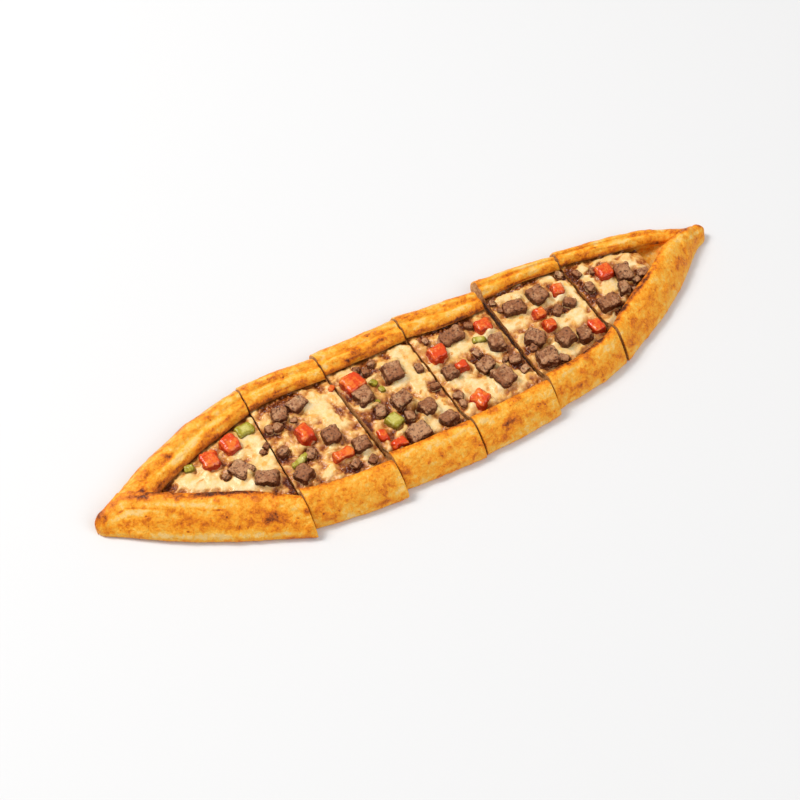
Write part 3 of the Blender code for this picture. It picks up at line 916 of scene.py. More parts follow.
@dataclass
class CrustSlice:
    """One slice's crust, with a flat base and two rims."""

    boat: Boat
    cut: Cut
    step: float = 0.52 * MM
    cut_rounding: float = 0.55 * MM
    rounding_share: float = 0.8
    cut_insets: Step = (0.12, 0.35, 0.65)
    tip_insets: tuple[float, ...] = (0.02, 0.06, 0.12, 0.2, 0.3, 0.42, 0.56, 0.72, 0.9)
    tip_spacing: float = 1.0 * MM
    border: float = 0.7 * MM
    base_tone: float = 0.375
    swell_size: float = 13 * MM
    dimple_size: float = 4.6 * MM
    streak_size: float = 4.2 * MM
    blister_size: float = 6.5 * MM
    wrinkle_size: float = 3.1 * MM
    tint_size: float = 8.5 * MM
    streak_squeeze: Step = (0.38, 1, 1)
    wrinkle_squeeze: Step = (0.8, 1, 1)
    blotch_sharpness: float = 1.2
    # Painted shade on the front lip's inner tip and along the back rim's inner edge.
    front_lip_shade: Point = (0.12, 0.3)
    back_edge_shade: tuple[float, ...] = (0.6, 0.5, 0.35, 0.2, 0.1)
    crease_wave: float = 21 * MM
    hollow_span: Point = (158 * MM, 176 * MM)

    def stations(self) -> list[float]:
        """Places along the slice, closer together at the cuts and round a tip."""
        start, end = knife_ends(self.cut)
        count = round((end - start) / self.step)
        places = [mix(start, end, index / count) for index in range(count + 1)]
        tip = self.boat.length / 2
        inner = [tip - inset * self.boat.tip_radius for inset in self.tip_insets]
        insets = [inset * self.cut_rounding for inset in self.cut_insets]
        if start <= -tip + self.tip_spacing:
            places = [-place for place in inner] + [x for x in places if x > self.tip_spacing - inner[-1]]
        else:
            places = places[:1] + [start + inset for inset in insets] + places[1:]
        if end >= tip - self.tip_spacing:
            places = [x for x in places if x < inner[-1] - self.tip_spacing] + inner[::-1]
        else:
            places = places[:-1] + [end - inset for inset in reversed(insets)] + places[-1:]
        return places

    def build(self) -> bpy.types.Object:
        """Builds the slice's crust.

        Returns:
            The closed piece.
        """
        rows, tones, grease_and_shade_rows = [], [], []
        start, end = knife_ends(self.cut)
        for x in self.stations():
            section = Section(self.boat, self.cut, x)
            front, channel, back, under = section.parts()
            ring = np.array(front + channel + back + under)
            ring = self.rounded(ring, min(x - start if self.cut.number > 1 else 1,
                                          end - x if self.cut.number < 6 else 1))
            lean = section.lean * (ring[:, 0] - section.middle)
            places = np.column_stack([x + lean, ring])
            outward = self.outward(ring)
            relief, tone, grease = self.surface(places, x, section, (len(front), len(channel), len(back)))
            places[:, 1:] += outward * relief[:, None]
            places[:, 2] = np.maximum(places[:, 2], 0)
            places = np.vstack([places, places[:1]])
            rows.append(places)
            tones.append(np.append(tone, tone[0]))
            grease_and_shade_rows.append(np.append(grease, grease[0]))
        piece = grid_sheet(f"baked_crust_{self.cut.number}", np.array(rows))
        store(piece, "bake", np.array(tones).reshape(-1))
        store(piece, "grease", np.array(grease_and_shade_rows).reshape(-1))
        store(piece, "cut", np.zeros(len(piece.data.vertices)))
        cap_ends(piece, self.border)
        return piece

    def rounded(self, ring: np.ndarray, distance: float) -> np.ndarray:
        """Draws a ring in a little next to a knife cut, so that the cut's edge is rounded.

        Args:
            ring: the outline, as Y and Z.
            distance: how far the cut is.

        Returns:
            The drawn-in outline.
        """
        reach = self.cut_rounding
        if distance >= reach:
            return ring
        depth = reach * (1 - math.sqrt(max(1 - (1 - distance / reach) ** 2, 0))) * self.rounding_share
        moved = ring - self.outward(ring) * depth
        moved[:, 1] = np.maximum(moved[:, 1], 0)
        return moved

    def outward(self, ring: np.ndarray) -> np.ndarray:
        """Unit directions out of the outline at each of its points."""
        along = np.roll(ring, -1, axis=0) - np.roll(ring, 1, axis=0)
        normal = np.column_stack([-along[:, 1], along[:, 0]])
        return normal / np.maximum(np.linalg.norm(normal, axis=1, keepdims=True), 1e-9)

    def surface(self, places: np.ndarray, x: float, section: Section,
                counts: tuple[int, int, int]) -> tuple[np.ndarray, np.ndarray, np.ndarray]:
        """Relief and browning of one ring.

        Args:
            places: its points.
            x: where it is along the slice.
            section: its section.
            counts: how many points the front rim, the channel and the back rim have.

        Returns:
            How far each point stands out, how brown it is, and how dark it is from grease in the channel and
            from painted shade at the rims' inner edges.
        """
        front, channel, back = counts
        along = places * np.array(self.streak_squeeze)
        swell = grain(places, self.swell_size, 1)
        dimple = grain(places, self.dimple_size, 2)
        streak = grain(along, self.streak_size, 3)
        blister = np.maximum(grain(places, self.blister_size, 4) - 0.12, 0)
        wrinkle = 1 - np.abs(grain(places * np.array(self.wrinkle_squeeze), self.wrinkle_size, 6)) * 4
        tint = grain(places, self.tint_size, 5)
        relief = (0.40 * swell + 0.20 * dimple + 0.9 * blister + 0.10 * np.maximum(wrinkle, 0)) * MM
        tone = self.base_tone + 0.13 * swell + 0.10 * dimple + 0.35 * blister + 0.08 * tint
        grease = np.zeros(len(places))
        share = np.linspace(0, 1, front)
        # A pale band round share 0.74, on the front rim's crest, is a painted highlight.
        tone[:front] += (0.16 * smooth_all(share, 0.84, 0.97) - 0.10 * np.exp(-((share - 0.74) / 0.10) ** 2)
                         - 0.16 * np.exp(-((share - 0.20) / 0.06) ** 2) + 0.05 * streak[:front])
        for blotch in self.cut.front_blotches:
            tone[:front] += self.blotch(blotch, x, share)
        share = np.linspace(0, 1, back)
        first = front + channel
        crease = np.exp(-((share - 0.30 - 0.02 * math.sin(x / self.crease_wave)) / 0.03) ** 2)
        relief[first:first + back] += 0.42 * MM * streak[first:first + back] - 0.40 * MM * crease
        tone[first:first + back] += (0.36 * streak[first:first + back] + 0.10 * crease - 0.06
                                     + 0.26 * smooth_all(-share, -0.13, -0.02)
                                     + 0.22 * np.exp(-((share - 0.80) / 0.10) ** 2))
        for blotch in self.cut.back_blotches:
            tone[first:first + back] += self.blotch(blotch, x, share)
        relief[front:first] *= 0.3
        hollow = smooth(x, *self.hollow_span)
        # The channel darkens with grease; the front lip's inner tip and the back rim's inner edge darken with
        # painted shade.
        grease[front:first] = 0.85 * section.open * (1 - 0.75 * hollow)
        tone[front:first] -= 0.12 * hollow
        grease[first:first + len(self.back_edge_shade)] = np.array(self.back_edge_shade) * section.open
        grease[front - len(self.front_lip_shade):front] = np.array(self.front_lip_shade) * section.open
        relief[first + back:] = 0
        tone[first + back:] += 0.16
        return relief, np.clip(tone, 0.0, 1), grease

    def blotch(self, blotch: Blotch, x: float, share: np.ndarray) -> np.ndarray:
        """How much one blotch changes the tone along a rim's outline at x."""
        far = ((x / MM - blotch.x) / blotch.along) ** 2 + ((share - blotch.share) / blotch.across) ** 2
        return blotch.tone * np.exp(-far * self.blotch_sharpness)


def knife_ends(cut: Cut) -> Point:
    """Where the slice's two cut faces are, half of each knife gap taken off."""
    return cut.start * MM + cut.gap[0] * MM, cut.end * MM - cut.gap[1] * MM


@dataclass
class FillingSlice:
    """One slice's filling: a slab with cheese, mince and juices on top."""

    boat: Boat
    cut: Cut
    sunk: list[Spot] = field(default_factory=list)
    step: float = 0.52 * MM
    across: int = 150
    clearance: float = 0.35 * MM
    top: float = 10.5 * MM
    droop: float = 1.8 * MM
    droop_reach: float = 7 * MM
    least: float = 2 * MM
    end_taper: float = 9 * MM
    end_thickness: float = 1.5 * MM
    end_overrun: float = 5 * MM
    border: float = 0.5 * MM
    warp: Point = (6 * MM, 3.0 * MM)
    fine_warp: Point = (1.9 * MM, 1.1 * MM)
    wave_size: float = 9 * MM
    web_size: float = 5.2 * MM
    crisp_size: float = 2.2 * MM
    lump_size: float = 2.5 * MM
    pit_depth: float = 3 * MM
    patch_fade: Point = (0.55, 1.25)
    # Painted shade on the slab's sides, under the rims.
    side_shade: float = 0.8
    collar_reach: float = 2.0 * MM
    # Painted shade along the filling's edges, where it runs under the rims.
    edge_shade_span: Point = (0.2 * MM, 3.0 * MM)

    def build(self) -> bpy.types.Object:
        """Builds the slice's filling.

        Returns:
            The closed piece.
        """
        start, end = knife_ends(self.cut)
        first, last = (place * MM for place in self.cut.filling)
        start, end = max(start, first), min(end, last)
        count = round((end - start) / self.step)
        rows, edges = [], []
        for index in range(count + 1):
            x = mix(start, end, index / count)
            section = Section(self.boat, self.cut, x)
            floor, front, back = section.walls()
            floor, front, back = floor + self.clearance, front + self.clearance, back - self.clearance
            y = np.linspace(front, back, self.across)
            rows.append(np.column_stack([x + section.lean * (y - section.middle), y, np.full_like(y, floor)]))
            edges.append(np.minimum(y - front, back - y))
        base = np.array(rows)
        flat = base.reshape(-1, 3)
        edge = np.array(edges).reshape(-1)
        height, masks = self.surface(flat, edge)
        taper = np.ones(len(flat))
        if self.cut.start < self.cut.filling[0]:
            taper = smooth_all(flat[:, 0], first - self.end_overrun, first + self.end_taper)
        if self.cut.end > self.cut.filling[1]:
            taper = 1 - smooth_all(flat[:, 0], last - self.end_taper, last + self.end_overrun)
        low = flat[:, 2] + self.end_thickness
        top = flat.copy()
        top[:, 2] = low + (np.maximum(height, flat[:, 2] + self.least) - low) * taper
        return self.closed(base, top.reshape(base.shape), masks)

    def surface(self, flat: np.ndarray, edge: np.ndarray) -> tuple[np.ndarray, dict[str, np.ndarray]]:
        """Height of the top and what lies where.

        Args:
            flat: places on the floor under each point of the top.
            edge: how far each is from the nearer rim.

        Returns:
            The heights, and the masks by name.
        """
        places = flat * np.array([1, 1, 0])
        warp = self.drift(places, *self.warp, 11)
        warp += self.drift(places, *self.fine_warp, 13)
        bent = places[:, :2] + warp
        masks = {area.value: np.zeros(len(flat)) for area in Area}
        for patch in self.cut.patches:
            mask = masks[patch.area.value]
            np.maximum(mask, self.reach(patch, bent), out=mask)
        wave = grain(places, self.wave_size, 15)
        web = grain(places, self.web_size, 17)
        crisp = grain(places, self.crisp_size, 18)
        lumps, names = cells(places + np.column_stack([warp * 0.4, np.zeros(len(flat))]), self.lump_size, 2)
        mince, cheese = masks.pop("mince"), masks.pop("cheese")
        calm = 1 - 0.5 * cheese
        melt = 0.53 + 0.27 * cheese - 0.36 * mince + (0.34 * web + 0.16 * crisp) * calm
        bare = 1 - smooth_all(melt, 0.30, 0.58)
        melt += bare * (0.34 * (lumps - 0.7) + 0.18 * (names - 0.5))
        height = (self.top + (0.55 * wave + bare * 1.4 * (lumps - 0.4) + mince * 0.5 * (lumps - 0.2)
                              + 1.0 * smooth_all(melt, 0.42, 0.80) + 0.35 * web + 0.14 * crisp
                              + 0.25 * smooth_all(masks["toast"], 0.3, 0.9)) * MM)
        height -= self.droop * (1 - smooth_all(edge, 0, self.droop_reach))
        height -= self.pit_depth * masks["depth"]
        for x, y, along, across in self.sunk:
            out = np.hypot(np.maximum(np.abs(places[:, 0] - x) - along, 0),
                           np.maximum(np.abs(places[:, 1] - y) - across, 0))
            collar = np.maximum(0.7 + 2.4 * wave + 1.4 * web, 0) * MM
            height += collar * np.exp(-(out / self.collar_reach) ** 2)
        # Painted shade darkens the filling where it runs under the rims, added to the darkened pits.
        masks["depth"] = np.clip(masks["depth"] + 0.75 * (1 - smooth_all(edge, *self.edge_shade_span)), 0, 1)
        masks["melt"] = np.clip(melt, 0, 1)
        return height, masks

    def drift(self, places: np.ndarray, size: float, depth: float, seed: int) -> np.ndarray:
        """Sideways shifts that bend the patches' outlines.

        Args:
            places: the places, one row each.
            size: how far apart the bends are.
            depth: how far they reach.
            seed: moves the pattern.

        Returns:
            One shift in X and Y for each place.
        """
        return np.column_stack([grain(places, size, seed), grain(places, size, seed + 1)]) * depth

    def reach(self, patch: Patch, places: np.ndarray) -> np.ndarray:
        """How strongly each place lies in a patch, 1 in its middle and 0 outside."""
        turn = math.radians(patch.turn)
        across = places / MM - np.array([patch.x, patch.y])
        u = (across[:, 0] * math.cos(turn) + across[:, 1] * math.sin(turn)) / patch.along
        v = (-across[:, 0] * math.sin(turn) + across[:, 1] * math.cos(turn)) / patch.across
        return 1 - smooth_all(np.hypot(u, v), *self.patch_fade)

    def closed(self, base: np.ndarray, top: np.ndarray, masks: dict[str, np.ndarray]) -> bpy.types.Object:
        """Turns the top into a closed slab.

        Args:
            base: the floor's points, row by row.
            top: the top's points.
            masks: what lies where on the top.

        Returns:
            The slab.
        """
        rows, columns = top.shape[:2]
        sides = [top[:, -1:] + (base[:, -1:] - top[:, -1:]) * share for share in (1 / 3, 2 / 3, 1)]
        bottom = [base[:, -1:] + (base[:, :1] - base[:, -1:]) * share for share in (1 / 3, 2 / 3)]
        rise = [base[:, :1] + (top[:, :1] - base[:, :1]) * share for share in (0, 1 / 3, 2 / 3, 1)]
        loop = np.concatenate([top] + sides + bottom + rise, axis=1)
        piece = grid_sheet(f"melted_filling_{self.cut.number}", loop)
        extra = loop.shape[1] - columns
        for name, mask in masks.items():
            # The slab's sides take painted shade.
            rest = np.full((rows, extra), self.side_shade if name == Area.DEEP.value else 0.0)
            rest[:, -1] = mask.reshape(rows, columns)[:, 0]
            store(piece, name, np.concatenate([mask.reshape(rows, columns), rest], axis=1).reshape(-1))
        store(piece, "cut", np.zeros(len(piece.data.vertices)))
        cap_ends(piece, self.border)
        return piece


@dataclass
class Dice:
    """A diced topping, worked up from its CAD node."""

    node: str
    voxel: float = 0.42 * MM
    softening: int = 3
    warp: float = 3.0 * MM
    warp_size: float = 8 * MM
    lumps: float = 1.3 * MM
    lump_size: float = 3.4 * MM
    pits: float = 0.6 * MM
    pit_size: float = 1.2 * MM
    growth: float = 0.45 * MM
    shrink: Point = (-0.05, 0.16)
    pull: float = 1.3 * MM

    def build(self, source: bpy.types.Object) -> bpy.types.Object:
        """Builds the finer piece.

        Args:
            source: the CAD node.

        Returns:
            The new piece.
        """
        deselect()
        piece = bpy.data.objects.new(f"diced_{self.node}", source.data.copy())
        bpy.context.scene.collection.objects.link(piece)
        piece.matrix_world = source.matrix_world
        piece.select_set(True)
        bpy.context.view_layer.objects.active = piece
        bpy.ops.object.transform_apply(location=True, rotation=True, scale=True)
        bpy.ops.object.mode_set(mode="EDIT")
        bpy.ops.mesh.select_all(action="SELECT")
        bpy.ops.mesh.remove_doubles(threshold=WELD)
        bpy.ops.object.mode_set(mode="OBJECT")
        remesh = piece.modifiers.new("remesh", "REMESH")
        remesh.mode = "VOXEL"
        remesh.voxel_size = self.voxel
        bpy.ops.object.modifier_apply(modifier=remesh.name)
        soften = piece.modifiers.new("soften", "SMOOTH")
        soften.factor = 0.5
        soften.iterations = self.softening
        bpy.ops.object.modifier_apply(modifier=soften.name)
        self.taper(piece)
        self.displace(piece, "X", self.warp, self.warp_size)
        self.displace(piece, "Y", self.warp, self.warp_size * 0.9)
        self.displace(piece, "NORMAL", self.lumps, self.lump_size, 0.5 - self.growth / self.lumps)
        self.displace(piece, "NORMAL", self.pits, self.pit_size)
        bpy.ops.object.shade_smooth()
        return piece

    def taper(self, piece: bpy.types.Object) -> None:
        """Narrows a piece towards its top and leans it, each piece in its own way, and marks its core.

        Args:
            piece: the piece.
        """
        draw = random.Random(self.node)
        places = np.array([vert.co for vert in piece.data.vertices])
        low, high = places.min(axis=0), places.max(axis=0)
        middle = (low + high)[:2] / 2
        rise = ((places[:, 2] - low[2]) / (high[2] - low[2]))[:, None]
        turn = draw.uniform(0, math.tau)
        pull = np.array([math.cos(turn), math.sin(turn)]) * self.pull
        reach = np.abs(places[:, :2] - middle).max(axis=1) / (high - low)[:2].min() * 2
        width = 1 - draw.uniform(*self.shrink) * rise
        places[:, :2] = middle + (places[:, :2] - middle) * width + pull * rise
        piece.data.vertices.foreach_set("co", places.reshape(-1))
        store(piece, "core", (1 - smooth_all(reach, 0.30, 0.72)) * smooth_all(rise[:, 0], 0.6, 0.9))

    def displace(self, piece: bpy.types.Object, direction: str, depth: float, size: float,
                 level: float = 0.5) -> None:
        """Pushes a piece's surface in and out by a cloud pattern.

        Args:
            piece: the piece, which is active.
            direction: which way it is pushed.
            depth: how far in all.
            size: how far apart the clouds are.
            level: which tone of the pattern leaves the surface where it is.
        """
        name = f"clouds_{direction}_{size / MM:.1f}"
        texture = bpy.data.textures.get(name) or bpy.data.textures.new(name, "CLOUDS")
        texture.noise_scale = size
        texture.noise_depth = 2
        relief = piece.modifiers.new(name, "DISPLACE")
        relief.texture = texture
        relief.texture_coords = "GLOBAL"
        relief.direction = direction
        relief.strength = depth
        relief.mid_level = level
        bpy.ops.object.modifier_apply(modifier=relief.name)


TOMATO_DICE = {"softening": 4, "lumps": 0.9 * MM, "pits": 0.15 * MM, "growth": 0.5 * MM,
               "shrink": (0.02, 0.26), "pull": 1.6 * MM}
PEPPER_DICE = {"softening": 4, "warp": 2.0 * MM, "lumps": 0.8 * MM, "pits": 0.25 * MM, "growth": 0.3 * MM,
               "shrink": (0.0, 0.1), "pull": 0.5 * MM}
DICE: dict[str, dict[str, Any]] = {"meat": {}, "tomato": TOMATO_DICE, "pepper": PEPPER_DICE}


@dataclass
class LooseCrumbs:
    """Small bits of meat, pepper and tomato that lie on one slice's filling."""

    cut: Cut
    top: float = 10.9 * MM
    lift_share: float = 0.12
    round_share: float = 0.55
    box_share: float = 0.42
    squeeze: Step = (1.1, 0.85, 0.8)
    lump_size: float = 2.4 * MM
    lump_depth: float = 0.5 * MM
    fine_size: float = 1.0 * MM
    fine_depth: float = 0.25 * MM
    tilt: float = 0.3
    half_turn: float = 3.1
    seed_span: float = 50

    def build(self) -> list[tuple[str, bpy.types.Object]]:
        """Builds the bits, each an object of its own.

        Returns:
            What each bit is of, and the bit.
        """
        made = []
        for index, crumb in enumerate(self.cut.crumbs):
            draw = random.Random(self.cut.number * 100 + index)
            deselect()
            bpy.ops.mesh.primitive_ico_sphere_add(subdivisions=4, radius=crumb.size * MM / 2)
            bit = bpy.context.object
            places = np.array([vert.co for vert in bit.data.vertices])
            box = places / np.abs(places).max(axis=1, keepdims=True) * crumb.size * MM / 2
            places = places * self.round_share + box * self.box_share
            places *= np.array(self.squeeze)
            normal = places / np.linalg.norm(places, axis=1, keepdims=True)
            seed = draw.random() * self.seed_span
            places += normal * (grain(places, self.lump_size, seed) * self.lump_depth
                                + grain(places, self.fine_size, seed + 1) * self.fine_depth)[:, None]
            bit.data.vertices.foreach_set("co", places.reshape(-1))
            bit.location = (crumb.x * MM, crumb.y * MM, self.top + crumb.size * MM * self.lift_share)
            tilts = [draw.uniform(-self.tilt, self.tilt) for axis in "xy"]
            bit.rotation_euler = Euler((*tilts, draw.uniform(0, self.half_turn)))
            bpy.ops.object.transform_apply(location=True, rotation=True, scale=True)
            bpy.ops.object.shade_smooth()
            made.append((crumb.kind, bit))
        return made


class Kitchen:
    """Everything that the pide is made of, built in order."""

    sunk_share: float = 0.85
    neighbour_reach: float = 5 * MM

    def __init__(self, frame: dict[str, Any]) -> None:
        """Keeps the frame and makes the materials.
        """
        self.frame = frame
        self.boat = Boat()
        self.materials = {
            "crust": CrustFinish().material(),
            "filling": FillingFinish().material(),
            "meat": MEAT.material(),
            "tomato": TOMATO.material(),
            "pepper": PEPPER.material(),
        }

    def toppings(self) -> list[Spot]:
        """Replaces each diced topping.

        Returns:
            Where each piece of meat or tomato is sunk in the filling: its middle and its half sizes.
        """
        sunk = []
        for name, node in self.frame["nodes"].items():
            kind = name.split("_")[0]
            if kind not in DICE:
                continue
            dress(Dice(name, **DICE[kind]).build(node), self.materials[kind], kind, name)
            if kind == "pepper":
                continue
            low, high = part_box(name)
            sunk.append(((low[0] + high[0]) / 2, (low[1] + high[1]) / 2,
                         (high[0] - low[0]) / 2 * self.sunk_share, (high[1] - low[1]) / 2 * self.sunk_share))
        return sunk

    def slices(self, sunk: list[Spot]) -> None:
        """Replaces each slice's crust and filling.

        Args:
            sunk: where the diced toppings are.
        """
        for cut in CUTS:
            dress(CrustSlice(self.boat, cut).build(), self.materials["crust"], "crust", f"crust_{cut.number}")
            low, high = cut.start * MM - self.neighbour_reach, cut.end * MM + self.neighbour_reach
            own = [spot for spot in sunk if low < spot[0] < high]
            dress(FillingSlice(self.boat, cut, own).build(), self.materials["filling"], "filling",
                  f"filling_{cut.number}")
            for index, (kind, bit) in enumerate(LooseCrumbs(cut).build()):
                bit.name = bit.data.name = f"{kind}_bit_{cut.number}_{index}"
                dress(bit, self.materials[kind], kind)


def many(kind: type, *rows: tuple[Any, ...]) -> tuple[Any, ...]:
    """One object of a kind from each row of bare values."""
    return tuple(kind(*row) for row in rows)


def spread(**sorts: tuple[tuple[float, ...], ...]) -> tuple[Patch, ...]:
    """Patches from rows of bare numbers, given for each sort by the name of its area."""
    return tuple(Patch(Area[name.upper()], *row) for name, rows in sorts.items() for row in rows)
